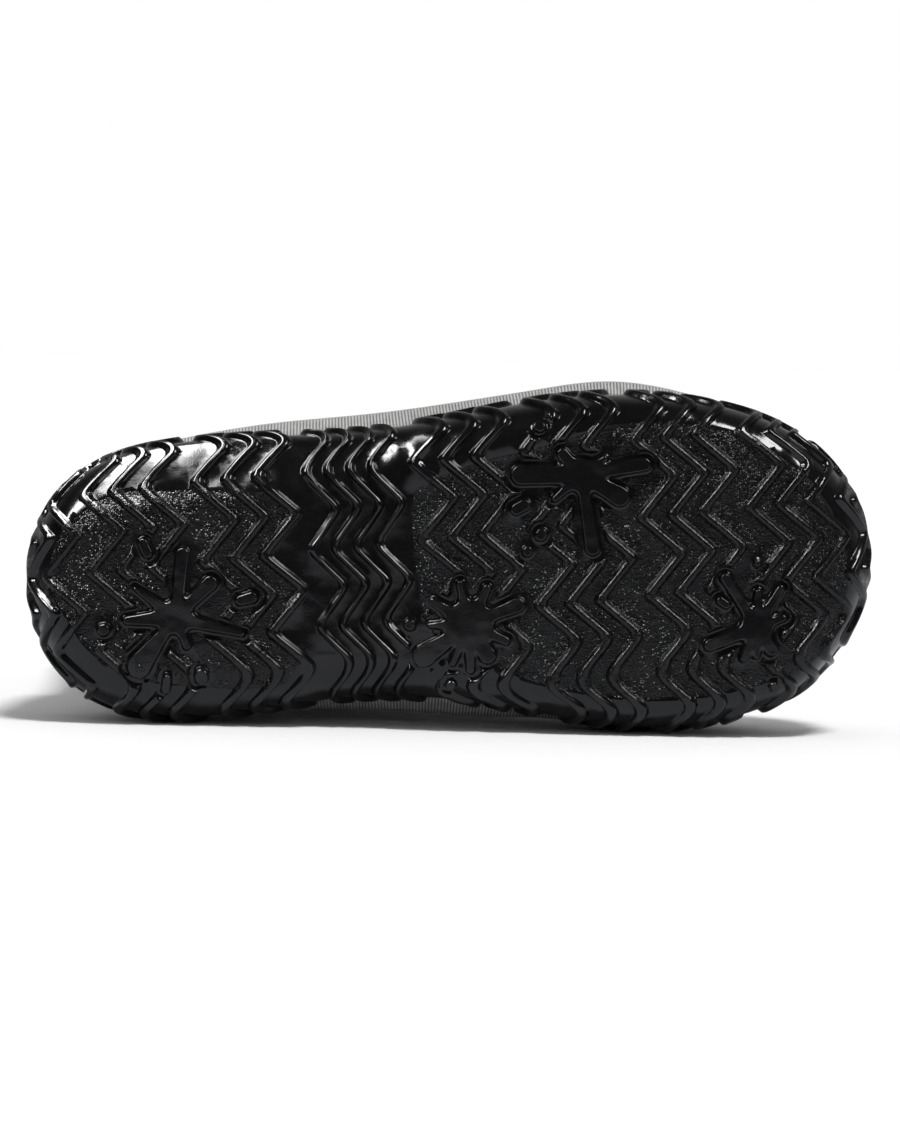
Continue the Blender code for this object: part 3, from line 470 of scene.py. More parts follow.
@dataclass
class Tread:
    """Everything raised on the shell: zigzag ribs, splashed shapes and stippled pads."""

    shell: SoleShell
    rib_width: float = 0.0029
    rib_pitch: float = 0.0073
    arch_rib_width: float = 0.0022
    arch_rib_pitch: float = 0.0053
    rib_side: float = 0.0013
    coarse_rounding: float = 0.0011
    fine_rounding: float = 0.0019
    splat_side: float = 0.0008
    zigzag_step: float = 0.0093
    zigzag_reach: float = 0.00455
    first_row: float = -0.0294
    pattern_turn: float = math.radians(-4.0)
    plain_rim: float = 0.0018
    reach: float = 0.020
    moat: float = 0.0009
    moat_depth: float = 0.00055
    pad_depth: float = 0.0002
    pad_edge: float = 0.00035
    pad_steps: int = 360
    heel_pad_end: int = 8
    heel_share: float = 0.39
    smooth_splat: int = 2
    rough_inset: float = 0.0017
    rough_blend: float = 0.0006
    clear_start: float = 0.4
    rib_polish: float = 0.62
    groups: Sequence[RibGroup] = (
        RibGroup(-0.022, 3),
        RibGroup(0.103, 3),
        RibGroup(0.235, 3),
        RibGroup(0.358, 4, True),
        RibGroup(0.491, 3),
        RibGroup(0.620, 3),
        RibGroup(0.749, 3),
        RibGroup(0.875, 3),
        RibGroup(0.988, 3),
    )
    splats: Sequence[Splat] = (
        splat(
            0.179, 0.104, 0.20,
            (-82, 0.0, 0.76, 0.08, 0.10), (-43, 0.0, 0.58, 0.07, 0.11), (16, 0.0, 0.82, 0.11, 0.05),
            (-143, 0.0, 0.60, 0.10, 0.04), (178, 0.0, 0.58, 0.13, 0.07), (129, 0.0, 0.72, 0.05, 0.16),
            (70, 0.0, 0.36, 0.06, 0.07), (-112, 0.84, 0.97, 0.08, 0.08), (-13, 0.80, 0.94, 0.08, 0.09),
            (172, 0.87, 0.88, 0.09, 0.09), (68, 0.75, 0.76, 0.10, 0.10), (100, 0.73, 0.84, 0.07, 0.07),
        ),
        splat(
            0.521, 0.149, 0.30,
            (-146, 0.0, 0.50, 0.10, 0.07), (-101, 0.0, 0.50, 0.08, 0.06), (-62, 0.0, 0.48, 0.08, 0.07),
            (-20, 0.0, 0.62, 0.07, 0.11), (26, 0.0, 0.48, 0.08, 0.07), (61, 0.0, 0.43, 0.08, 0.12),
            (90, 0.0, 0.54, 0.07, 0.07), (115, 0.0, 0.50, 0.06, 0.06), (146, 0.0, 0.66, 0.06, 0.15),
            (-180, 0.0, 0.46, 0.09, 0.05), (-179, 0.70, 0.71, 0.09, 0.09), (108, 0.78, 0.79, 0.08, 0.08),
        ),
        splat(
            0.657, -0.271, 0.21,
            (-178, 0.0, 0.72, 0.12, 0.14), (-8, 0.0, 0.76, 0.09, 0.10), (31, 0.0, 0.52, 0.09, 0.14),
            (-130, 0.0, 0.34, 0.08, 0.09), (-35, 0.0, 0.34, 0.07, 0.05), (83, 0.0, 0.88, 0.08, 0.11),
            (140, 0.0, 0.42, 0.07, 0.06), (154, 0.77, 0.88, 0.09, 0.09), (126, 0.85, 0.87, 0.09, 0.09),
            (127, 1.11, 1.12, 0.08, 0.08), (-129, 0.77, 0.78, 0.09, 0.09),
        ),
        splat(
            0.856, 0.183, 0.20,
            (-121, 0.0, 0.70, 0.08, 0.08), (-86, 0.0, 0.42, 0.07, 0.06), (-56, 0.0, 0.54, 0.08, 0.07),
            (-17, 0.0, 0.34, 0.08, 0.06), (58, 0.0, 0.32, 0.08, 0.10), (161, 0.0, 0.60, 0.09, 0.09),
            (115, 0.0, 0.40, 0.07, 0.07), (92, 0.0, 0.34, 0.06, 0.06), (-142, 0.46, 0.54, 0.07, 0.07),
            (-88, 0.76, 0.77, 0.06, 0.06), (75, 0.75, 0.76, 0.07, 0.07),
        ),
    )
    # Corners of the stippled pads: shares of the sole's length and of the ball width
    pads: Sequence[Sequence[tuple[float, float]]] = (
        (
            (0.091, -0.236), (0.066, -0.197), (0.047, -0.154), (0.035, -0.103), (0.030, -0.053),
            (0.029, -0.004), (0.037, 0.049), (0.054, 0.103), (0.068, 0.169), (0.091, 0.229),
            (0.121, 0.266), (0.156, 0.292), (0.203, 0.307), (0.262, 0.317), (0.304, 0.309),
            (0.322, 0.246), (0.331, 0.130), (0.330, 0.012), (0.329, -0.105), (0.326, -0.207),
            (0.316, -0.243), (0.257, -0.253), (0.186, -0.260), (0.119, -0.263),
        ),
        (
            (0.457, -0.154), (0.460, -0.036), (0.468, 0.125), (0.488, 0.200), (0.523, 0.246),
            (0.564, 0.287), (0.611, 0.337), (0.671, 0.371), (0.723, 0.383), (0.794, 0.380),
            (0.865, 0.350), (0.913, 0.324), (0.947, 0.262), (0.966, 0.147), (0.968, 0.001),
            (0.956, -0.117), (0.929, -0.221), (0.891, -0.312), (0.845, -0.385), (0.813, -0.402),
            (0.766, -0.423), (0.735, -0.423), (0.695, -0.414), (0.649, -0.382), (0.596, -0.348),
            (0.543, -0.323), (0.512, -0.296), (0.482, -0.275), (0.460, -0.235),
        ),
    )

    def __post_init__(self) -> None:
        """Lays out the ribs, the shapes' centres and the pads' outlines."""
        self.ribs = [rib for group in self.groups for rib in self.ribs_of(group)]
        scale = np.array([self.shell.length, self.shell.ball_width])
        self.centres = [np.array([shape.along, shape.across]) * scale for shape in self.splats]
        self.pad_lines = [evenly(np.array(each)[::-1] * scale, self.pad_steps) for each in self.pads]

    def ribs_of(self, group: RibGroup) -> Iterable[Rib]:
        """The ribs of one group."""
        width = self.arch_rib_width if group.fine else self.rib_width
        reach = self.zigzag_reach * ((self.arch_rib_width / self.rib_width) ** 0.5 if group.fine else 1)
        lean = math.hypot(2 * reach, self.zigzag_step) / self.zigzag_step
        pitch = self.arch_rib_pitch if group.fine else self.rib_pitch
        rounding = self.fine_rounding if group.fine else self.coarse_rounding
        half, side = width / 2 * lean, self.rib_side * lean
        for i in range(group.count):
            centre = group.first * self.shell.length + i * pitch
            yield Rib(centre, half, reach, side, self.zigzag_step, self.first_row, rounding)

    def to_pattern(self, flat: np.ndarray) -> tuple[np.ndarray, np.ndarray]:
        """Turned coordinates of the pattern: along the sole and across it."""
        cos, sin = math.cos(self.pattern_turn), math.sin(self.pattern_turn)
        return flat[:, 0] * cos + flat[:, 1] * sin, flat[:, 1] * cos - flat[:, 0] * sin

    def from_pattern(self, along: np.ndarray, across: np.ndarray) -> np.ndarray:
        """The flattened tread's coordinates again."""
        cos, sin = math.cos(self.pattern_turn), math.sin(self.pattern_turn)
        return np.column_stack([along * cos - across * sin, along * sin + across * cos])

    def ribs_at(self, flat: np.ndarray) -> np.ndarray:
        """The highest rib's presence at each point."""
        along, across = self.to_pattern(flat)
        return np.max([rib.presence(along, across) for rib in self.ribs], axis=0)

    def splat_distances(self, flat: np.ndarray) -> list[np.ndarray]:
        """Distance to each splashed shape, negative inside."""
        placed = zip(self.splats, self.centres)
        return [shape.distance(flat, centre, self.reach) for shape, centre in placed]

    def splat_distance(self, flat: np.ndarray) -> np.ndarray:
        """Distance to the nearest splashed shape, negative inside."""
        return np.min(self.splat_distances(flat), axis=0)

    def pad_distance(self, flat: np.ndarray) -> np.ndarray:
        """Distance into the nearest stippled pad, negative outside."""
        result = np.full(len(flat), -np.inf)
        for line in self.pad_lines:
            best = nearest_in(tree_of(line), flat)
            away = ((flat - line[best]) * outward_of(line)[best]).sum(axis=1)
            result = np.maximum(result, -away)
        return result

    def pad_share(self, flat: np.ndarray) -> np.ndarray:
        """1 on a stippled pad and 0 off it, with a narrow edge; a rib's middle ends the heel's pad."""
        share = np.clip(0.5 + self.pad_distance(flat) / self.pad_edge, 0, 1)
        along, across = self.to_pattern(flat)
        before = self.ribs[self.heel_pad_end].middle(across) - along
        past_heel = flat[:, 0] > self.heel_share * self.shell.length
        return share * np.where(past_heel, 1, np.clip(0.5 + before / self.pad_edge, 0, 1))

    def rough_share(self, flat: np.ndarray, pad: np.ndarray) -> np.ndarray:
        """How stippled each point is: the pads between their ribs, and the middles of most splashed shapes.

        Args:
            flat: points of the flattened tread.
            pad: 1 on a stippled pad and 0 off it.

        Returns:
            1 where fully stippled.
        """
        shapes = self.splat_distances(flat)
        away = np.min(shapes, axis=0)
        raised = np.maximum(self.ribs_at(flat) ** 2, soft_step(-away / self.splat_side))
        rough = [distance for i, distance in enumerate(shapes) if i != self.smooth_splat]
        middle = np.clip((-np.min(rough, axis=0) - self.rough_inset) / self.rough_blend, 0, 1)
        clear = np.clip(away / self.moat - self.clear_start, 0, 1)
        return pad * np.maximum((1 - self.rib_polish * raised) * clear, middle)

    def relief(self, flat: np.ndarray, arc: np.ndarray, rim_arc: np.ndarray, pad: np.ndarray) -> np.ndarray:
        """Height over the bare shell.

        Args:
            flat: points of the flattened tread.
            arc: their length past the flat part.
            rim_arc: that length at the rim.
            pad: 1 on a stippled pad and 0 off it.

        Returns:
            Heights of ribs and shapes, less the shallow pads and the moats round the shapes.
        """
        away = self.splat_distance(flat)
        ribs = np.minimum(self.ribs_at(flat), soft_step((away - self.moat) / self.rib_side))
        ribs = np.minimum(ribs, soft_step((rim_arc - self.plain_rim - arc) / self.rib_side))
        raised = np.maximum(ribs, soft_step(-away / self.splat_side))
        groove = np.where(np.abs(away - self.moat / 2) < self.moat / 2, np.sin(away / self.moat * math.pi), 0)
        low = self.pad_depth * pad * (1 - raised) + self.moat_depth * np.maximum(groove, 0) ** 2
        return self.shell.rib_height * raised - low


class TreadNet:
    """The fine triangles of the tread, cut along every line that shapes it."""

    def __init__(self, tread: Tread, top: float) -> None:
        """Draws every line.

        Args:
            tread: what the lines follow.
            top: how far under the rim the net ends, where the rim's rounding takes over.
        """
        self.tread = tread
        self.shell = tread.shell
        self.points: list[np.ndarray] = []
        self.edges: list[np.ndarray] = []
        self.count = 0
        self.rim_steps = 720
        self.shell_steps = 360
        self.levels = (0.0, 0.16, 0.36, 0.62, 1.0)
        self.under_rim = 0.001
        self.bend_reach = 0.0024
        self.grid = 0.0004
        self.grid_reach = 1.32
        self.halvings = 9
        self.outer = self.ring(lambda x: self.shell.arc_at_rim(x) - top, self.rim_steps)
        self.draw_shell()
        self.draw_ribs()
        self.draw_splats()
        for line in tread.pad_lines:
            for shift in (-0.5, 0.5):
                self.closed(line + outward_of(line) * shift * tread.pad_edge)

    def closed(self, line: np.ndarray) -> list[int]:
        """Draws a closed line and gives its points' numbers."""
        numbers = self.count + np.arange(len(line))
        self.points.append(line)
        self.edges.append(np.column_stack([numbers, np.roll(numbers, -1)]))
        self.count += len(line)
        return numbers.tolist()

    def pieces(self, starts: np.ndarray, ends: np.ndarray) -> None:
        """Draws separate straight pieces."""
        numbers = self.count + np.arange(len(starts))
        self.points += [starts, ends]
        self.edges.append(np.column_stack([numbers, numbers + len(starts)]))
        self.count += 2 * len(starts)

    def ring(self, length_at: Curve, steps: int) -> list[int]:
        """Draws the line at a given length past the flat tread."""
        return self.closed(self.ring_line(length_at, steps))

    def ring_line(self, length_at: Curve, steps: int) -> np.ndarray:
        """The line at a given length past the flat tread."""
        x = self.shell.line[:: self.shell.fine_steps // steps, 0]
        return self.shell.loop(steps, length_at(x) - self.shell.run(x))

    def on_ribs(self, line: np.ndarray) -> None:
        """Draws only the pieces of a closed line that cross ribs."""
        ends = np.roll(line, -1, axis=0)
        crossing = self.tread.ribs_at((line + ends) / 2) > 0
        self.pieces(line[crossing], ends[crossing])

    def draw_shell(self) -> None:
        """Draws lines round the edge and the wall."""
        for share in (0.0, 0.12, 0.25, 0.38, 0.51, 0.64, 0.77, 0.9):
            self.ring(lambda x, share=share: share * self.shell.edge_arc(self.shell.run(x)), self.shell_steps)
        top = self.tread.plain_rim + self.under_rim
        for share in (0.0, 0.25, 0.5, 0.75):
            self.ring(
                lambda x, share=share: self.shell.edge_arc(self.shell.run(x)) * (1 - share)
                + (self.shell.arc_at_rim(x) - top) * share,
                self.shell_steps,
            )
        for level in self.levels:
            past = self.tread.plain_rim + level * self.tread.rib_side
            line = self.ring_line(lambda x, past=past: self.shell.arc_at_rim(x) - past, self.rim_steps)
            self.on_ribs(line)

    def on_tread(self, flat: np.ndarray) -> np.ndarray:
        """Whether ribs may stand at a point: under the plain rim and clear of the splashed shapes."""
        foot, _, distance = self.shell.nearest(flat)
        arc = distance + self.shell.run(foot[:, 0])
        clear = self.tread.splat_distance(flat) > self.tread.moat
        return (arc < self.shell.arc_at_rim(foot[:, 0]) - self.tread.plain_rim) & clear

    def draw_ribs(self) -> None:
        """Draws the edges of every rib, cut to where ribs may stand."""
        tread = self.tread
        bend = np.array([-1.0, -0.6, -0.3, 0.0, 0.3, 0.6]) * self.bend_reach
        leg = np.linspace(self.bend_reach, tread.zigzag_step - self.bend_reach, 5)[:-1]
        steps = np.concatenate([bend, leg])
        across = (tread.first_row + np.arange(-6, 14)[:, None] * tread.zigzag_step + steps).ravel()
        starts: list[np.ndarray] = []
        ends: list[np.ndarray] = []
        for rib in tread.ribs:
            for level in self.levels:
                for side in (-1, 1):
                    along = rib.middle(across) + side * (rib.half - level * rib.side)
                    line = tread.from_pattern(along, across)
                    starts.append(line[:-1])
                    ends.append(line[1:])
        start, end = np.concatenate(starts), np.concatenate(ends)
        start_on, end_on = self.on_tread(start), self.on_tread(end)
        whole = start_on & end_on
        self.pieces(start[whole], end[whole])
        cut = start_on != end_on
        inside = np.where(start_on[cut][:, None], start[cut], end[cut])
        outside = np.where(start_on[cut][:, None], end[cut], start[cut])
        for _ in range(self.halvings):
            middle = (inside + outside) / 2
            on = self.on_tread(middle)[:, None]
            inside, outside = np.where(on, middle, inside), np.where(on, outside, middle)
        self.pieces(np.where(start_on[cut][:, None], start[cut], end[cut]), inside)

    def draw_splats(self) -> None:
        """Draws level lines inside the splashed shapes and along their moats."""
        tread = self.tread
        for shape, centre in zip(tread.splats, tread.centres):
            for level in self.levels:
                for line in self.level_lines(shape, centre, -level * tread.splat_side):
                    self.closed(line)
                for line in self.level_lines(shape, centre, tread.moat + level * tread.rib_side):
                    self.on_ribs(line)
            for line in self.level_lines(shape, centre, tread.moat / 2):
                self.closed(line)

    def level_lines(self, shape: Splat, centre: np.ndarray, level: float) -> Iterable[np.ndarray]:
        """Closed lines round a splashed shape.

        Args:
            shape: the splashed shape.
            centre: its middle on the flattened tread.
            level: distance of the lines from it.

        Returns:
            Each line's points.
        """
        extent = self.tread.reach * self.grid_reach
        count = int(2 * extent / self.grid) + 1
        steps = np.linspace(-extent, extent, count)
        points = np.stack(np.meshgrid(steps, steps, indexing="ij"), axis=-1).reshape(-1, 2) + centre
        values = shape.distance(points, centre, self.tread.reach) - level
        values[values == 0] = self.grid * 1e-6
        first = (np.arange(count - 1)[:, None] * count + np.arange(count - 1)).ravel()
        pairs: list[tuple[tuple[int, int], tuple[int, int]]] = []
        for corner in (count, 1):
            corners = np.sort(np.column_stack([first, first + corner, first + count + 1]), axis=1)
            raised = values[corners] > 0
            mixed = raised.any(axis=1) & ~raised.all(axis=1)
            for (a, b, c), (high_a, high_b, high_c) in zip(corners[mixed].tolist(), raised[mixed].tolist()):
                sides = (((a, b), high_a != high_b), ((b, c), high_b != high_c), ((a, c), high_a != high_c))
                crossed = [ends for ends, apart in sides if apart]
                pairs.append((crossed[0], crossed[1]))
        for chain in chains(pairs):
            ends = np.array(chain)
            low, high = values[ends[:, 0]], values[ends[:, 1]]
            way = (low / (low - high))[:, None]
            line = points[ends[:, 0]] * (1 - way) + points[ends[:, 1]] * way
            around = np.linalg.norm(line - np.roll(line, 1, axis=0), axis=1).sum()
            yield evenly(line, max(10, int(around / self.grid)))

    def triangles(self) -> tuple[np.ndarray, np.ndarray, list[int]]:
        """Cuts the flattened tread into triangles.

        Returns:
            Points, triangles and the numbers of the points on the outer line, in order.
        """
        points = np.concatenate(self.points)
        in_mm = [Vector(point) for point in (points * 1000).tolist()]
        edges = [tuple(edge) for edge in np.concatenate(self.edges).tolist()]
        made = delaunay_2d_cdt(in_mm, edges, [self.outer], 1, 0.01)
        name_of = {source: i for i, sources in enumerate(made[3]) for source in sources}
        flat = np.array([tuple(point) for point in made[0]]) / 1000
        return flat, np.array([tuple(face) for face in made[2]]), [name_of[i] for i in self.outer]


def chains(pairs: Iterable[tuple[object, object]]) -> Iterable[list[object]]:
    """Closed chains from unordered pairs, each key standing in two of them."""
    neighbours: dict[object, list[object]] = {}
    for first, second in pairs:
        neighbours.setdefault(first, []).append(second)
        neighbours.setdefault(second, []).append(first)
    while neighbours:
        start = next(iter(neighbours))
        chain = [start]
        following = neighbours.pop(start)[0]
        while following != start:
            before = chain[-1]
            chain.append(following)
            one, other = neighbours.pop(following)
            following = other if one == before else one
        yield chain


@dataclass
class MeshWork:
    """Points, faces and values of one piece while it is put together."""

    points: list[np.ndarray] = field(default_factory=list)
    faces: list[tuple[int, ...]] = field(default_factory=list)
    slots: list[int] = field(default_factory=list)
    values: dict[str, list[np.ndarray]] = field(default_factory=dict)
    count: int = 0

    def add(self, points: np.ndarray, **values: np.ndarray) -> np.ndarray:
        """Adds points.

        Args:
            points: their places.
            values: named values for each point, taken as 0 where left out.

        Returns:
            The points' numbers.
        """
        numbers = self.count + np.arange(len(points))
        for name in set(values) | set(self.values):
            stored = self.values.setdefault(name, [np.zeros(self.count)] if self.count else [])
            stored.append(np.broadcast_to(np.asarray(values.get(name, 0.0), float), len(points)))
        self.points.append(np.asarray(points, float))
        self.count += len(points)
        return numbers

    def face(self, corners: Iterable[int], slot: int = 0) -> None:
        """Adds one face."""
        self.faces.append(tuple(int(corner) for corner in corners))
        self.slots.append(slot)

    def band(self, one: Sequence[int], other: Sequence[int], slot: int = 0) -> None:
        """Adds faces between two closed loops of as many points."""
        for i in range(len(one)):
            j = (i + 1) % len(one)
            self.face((one[i], one[j], other[j], other[i]), slot)

    def lid(self, loop: Sequence[int], height_at: Curve, spacing: float, slot: int = 0) -> None:
        """Fills a flat-lying loop with triangles whose inner points follow a height over x."""
        rim = np.concatenate(self.points)[np.asarray(loop)][:, :2]
        low, high = rim.min(axis=0), rim.max(axis=0)
        grid = np.stack(
            np.meshgrid(np.arange(low[0], high[0], spacing), np.arange(low[1], high[1], spacing)), axis=-1
        ).reshape(-1, 2)
        out = unit(outward_of(rim)) * np.sign(signed_area(rim))
        best = nearest_in(tree_of(rim), grid)
        inner = grid[((grid - rim[best]) * out[best]).sum(axis=1) < -0.6 * spacing]
        extra = self.add(np.column_stack([inner, height_at(inner[:, 0])]))
        known = [*loop, *extra]
        in_mm = [Vector(point) for point in (np.vstack([rim, inner]) * 1000).tolist()]
        made = delaunay_2d_cdt(in_mm, [], [list(range(len(rim)))], 1, 0.01)
        for face in made[2]:
            self.face([known[made[3][i][0]] for i in face], slot)

    def object(self, name: str, materials: Sequence[bpy.types.Material]) -> bpy.types.Object:
        """Makes the object, laid down as the model lies, smooth.

        Args:
            name: the piece's name.
            materials: one for each slot.

        Returns:
            The object, linked to the scene.
        """
        mesh = bpy.data.meshes.new(name)
        places = np.concatenate(self.points) @ np.array(LAID_DOWN)[:3, :3].T + np.array(LAID_DOWN)[:3, 3]
        mesh.from_pydata(places.tolist(), [], self.faces)
        mesh.polygons.foreach_set("material_index", self.slots)
        for label, values in self.values.items():
            mesh.attributes.new(label, "FLOAT", "POINT").data.foreach_set("value", np.concatenate(values))
        for material in materials:
            mesh.materials.append(material)
        mesh.shade_smooth()
        made = bpy.data.objects.new(name, mesh)
        bpy.context.scene.collection.objects.link(made)
        return made


def signed_area(line: np.ndarray) -> float:
    """Area of a closed line, positive where it runs anticlockwise."""
    after = np.roll(line, -1, axis=0)
    return float((line[:, 0] * after[:, 1] - line[:, 1] * after[:, 0]).sum() / 2)


@dataclass
class Sole:
    """The moulded cup with its tread, rim, inner wall and floor."""

    shell: SoleShell
    tread: Tread
    rim_rounding: float = 0.0007
    floor_spacing: float = 0.004
    nudge: float = 0.00004

    def positions(self, flat: np.ndarray) -> tuple[np.ndarray, np.ndarray]:
        """Places of the finished tread, and how much of each point lies on a pad."""
        places, away, arc, rim_arc = self.shell.places(flat)
        pad = self.tread.pad_share(flat)
        return places + away * self.tread.relief(flat, arc, rim_arc, pad)[:, None], pad

    def normals(self, flat: np.ndarray) -> np.ndarray:
        """The finished tread's outward directions."""
        sides = [
            self.positions(flat + move)[0] - self.positions(flat - move)[0] for move in np.eye(2) * self.nudge
        ]
        return unit(np.cross(sides[1], sides[0]))

    def build(self, material: bpy.types.Material) -> bpy.types.Object:
        """Builds the piece.

        Args:
            material: the sole's rubber.

        Returns:
            The object.
        """
        net = TreadNet(self.tread, self.rim_rounding)
        flat, triangles, outer = net.triangles()
        LOG.info("tread: %d triangles", len(triangles))
        work = MeshWork()
        places, pad = self.positions(flat)
        work.add(places, stipple=self.tread.rough_share(flat, pad))
        for face in triangles:
            work.face(face)
        self.add_inside(work, outer, net.rim_steps)
        made = work.object("moulded_sole", [material])
        normals = np.empty(len(made.data.vertices) * 3)
        made.data.vertex_normals.foreach_get("vector", normals)
        normals = normals.reshape(-1, 3)
        turned = self.normals(flat) @ np.array(LAID_DOWN)[:3, :3].T
        turned *= np.sign((turned * normals[: len(flat)]).sum(axis=1, keepdims=True).mean())
        normals[: len(flat)] = turned
        made.data.normals_split_custom_set_from_vertices(normals.tolist())
        return made

    def add_inside(self, work: MeshWork, outer: list[int], steps: int) -> None:
        """Adds the rounded rim, the inner wall and the floor to the tread's outer line."""
        step = self.shell.fine_steps // steps
        line, outward = self.shell.line[::step], self.shell.outward[::step]
        top, soft = self.shell.rim(line[:, 0]), self.rim_rounding
        last: Sequence[int] = outer

        def ring(inward: float, height: np.ndarray) -> np.ndarray:
            """One more loop, a distance in from the outline."""
            return work.add(np.column_stack([line - outward * inward, height]))

        for turn in np.radians([30, 60, 90]):
            following = ring(soft * (1 - math.cos(turn)), top - soft * (1 - math.sin(turn)))
            work.band(last, following)
            last = following
        for turn in np.radians([0, 30, 60, 90]):
            following = ring(
                self.shell.wall - soft * (1 - math.sin(turn)), top - soft * (1 - math.cos(turn))
            )
            work.band(last, following)
            last = following
        base = self.shell.floor(line[:, 0])
        for share in (0.4, 1.0):
            following = ring(self.shell.wall, (top - soft) * (1 - share) + base * share)
            work.band(last, following)
            last = following
        work.lid(last, self.shell.floor, self.floor_spacing)


@dataclass(frozen=True)
class Crease:
    """A soft trough or ridge that runs round part of the upper."""

    height: float
    turn: float
    depth: float
    width: float
    spread: float
    rise: float
    side: Side | None = None


@dataclass
class Upper:
    """The lined textile upper: ribbed foot and shaft, with a cuff at the collar."""

    shell: SoleShell
    boot_height: float = 0.168
    wall: float = 0.0022
    puff: float = 0.0036
    puff_height: float = 0.009
    cuff_height: float = 0.014
    cuff_step: float = 0.0008
    gap: float = 0.0003
    oval_power: float = 0.9
    columns: int = 1232
    rows: int = 46
    rib_depth: float = 0.00011
    rib_start: float = 0.0012
    crease_clear: float = 0.010
    crease_fade: float = 0.008
    stitch_ring: int = -5
    # Columns: share of the length, stand over the rim on the outer and the inner side, height of the stand
    puff_stations: Sequence[Sequence[float]] = (
        (0.00, -0.60, -0.60, 0.45),
        (0.10, -0.50, -0.50, 0.55),
        (0.21, -0.05, 0.00, 0.80),
        (0.32, 0.50, 0.45, 1.00),
        (0.45, 0.62, 1.05, 1.00),
        (0.54, 0.42, 0.95, 1.00),
        (0.61, 0.32, 0.35, 1.00),
        (0.69, 0.48, 0.10, 0.90),
        (0.80, -0.08, -0.20, 0.75),
        (0.90, -0.50, -0.50, 0.55),
        (1.00, -0.50, -0.50, 0.45),
    )
    # Columns: back and front as shares of the length, their heights as shares of the boot's height,
    # outer and inner half width as shares of the ball width, likeness to the sole's outline
    sections: Sequence[Sequence[float]] = (
        (0.013, 0.972, 0.275, 0.270, 0.462, 0.455, 0.75),
        (0.016, 0.938, 0.325, 0.308, 0.435, 0.430, 0.70),
        (0.022, 0.865, 0.370, 0.348, 0.410, 0.408, 0.60),
        (0.030, 0.755, 0.420, 0.390, 0.390, 0.390, 0.45),
        (0.040, 0.640, 0.480, 0.460, 0.376, 0.380, 0.25),
        (0.045, 0.550, 0.560, 0.560, 0.366, 0.372, 0.10),
        (0.042, 0.500, 0.670, 0.680, 0.360, 0.372, 0.00),
        (0.034, 0.482, 0.830, 0.840, 0.360, 0.378, 0.00),
        (0.028, 0.480, 1.000, 1.000, 0.368, 0.388, 0.00),
    )
    creases: Sequence[Crease] = (
        Crease(0.50, 3.00, -0.0027, 0.0046, 1.25, 0.05),
        Crease(0.57, 3.05, 0.0020, 0.0050, 1.10, 0.05),
        Crease(0.64, 2.95, -0.0022, 0.0050, 1.00, 0.03),
        Crease(0.47, 0.20, -0.0014, 0.0055, 0.80, -0.04),
        Crease(0.72, 1.30, -0.0012, 0.0060, 0.75, -0.10, Side.OUTER),
        Crease(0.66, 1.55, -0.0014, 0.0065, 0.80, 0.10, Side.INNER),
        Crease(0.36, 2.35, -0.0012, 0.0045, 0.60, 0.20, Side.OUTER),
        Crease(0.35, 2.45, -0.0014, 0.0045, 0.60, 0.16, Side.INNER),
    )

    def __post_init__(self) -> None:
        """Makes the curves and the outline with a point for each half rib."""
        places = column(self.puff_stations, 0)
        self.stand = {
            Side.OUTER: smooth_curve(places, column(self.puff_stations, 1)),
            Side.INNER: smooth_curve(places, column(self.puff_stations, 2)),
        }
        self.stand_rise = smooth_curve(places, column(self.puff_stations, 3))
        self.line = evenly(self.shell.line, self.columns)
        self.outward = outward_of(self.line)
        back, front = self.line[:, 0].min(), self.line[:, 0].max()
        self.turn = turn_of((self.line[:, 0] - back) / (front - back))
        ends = self.line[[self.line[:, 0].argmin(), self.line[:, 0].argmax()]]
        middle = np.interp(self.line[:, 0], ends[:, 0], ends[:, 1])
        self.on_outer = self.line[:, 1] < middle

    def section_ring(self, section: Sequence[float]) -> np.ndarray:
        """One section's points, one for each point of the outline."""
        back, front, back_height, front_height, outer, inner, likeness = section
        fine = np.linspace(0, math.pi, 960)
        shapes = {
            side: self.shell.half[side](self.turn) / self.shell.half[side](fine).max() for side in Side
        }
        shape = np.where(self.on_outer, shapes[Side.OUTER], shapes[Side.INNER])
        half = shape * likeness + np.sin(self.turn) ** self.oval_power * (1 - likeness)
        y = half * np.where(self.on_outer, -outer, inner) * self.shell.ball_width
        way = (1 - np.cos(self.turn)) / 2
        x = (back + (front - back) * way) * self.shell.length
        z = (back_height + (front_height - back_height) * way) * self.boot_height
        return np.column_stack([x, y, z])

    def rings(self) -> np.ndarray:
        """Every ring of the outer face, from its lower edge in the cup to the collar."""
        seat = -(self.shell.wall + self.gap)
        share = self.line[:, 0] / self.shell.length
        stand = np.where(self.on_outer, self.stand[Side.OUTER](share), self.stand[Side.INNER](share))
        stand = stand * self.puff + self.shell.rib_height
        rim = self.shell.rim(self.line[:, 0])
        seated = self.line + self.outward * seat
        rings = [np.column_stack([seated, self.shell.floor(seated[:, 0]) + self.gap])]
        rings.append(np.column_stack([seated, rim + self.gap]))
        for way, height in ((0.30, 0.10), (0.62, 0.35), (0.86, 0.68), (1.0, 1.0)):
            plan = self.line + self.outward * (seat + (stand - seat) * way)[:, None]
            lifted = rim + self.gap + self.puff_height * self.stand_rise(share) * height
            rings.append(np.column_stack([plan, lifted]))
        fixed = np.array([rings[-1], *(self.section_ring(section) for section in self.sections)])
        rings += list(self.through(fixed, np.linspace(0, len(fixed) - 1, self.rows + 1)[1:]))
        return self.with_cuff(np.array(rings))

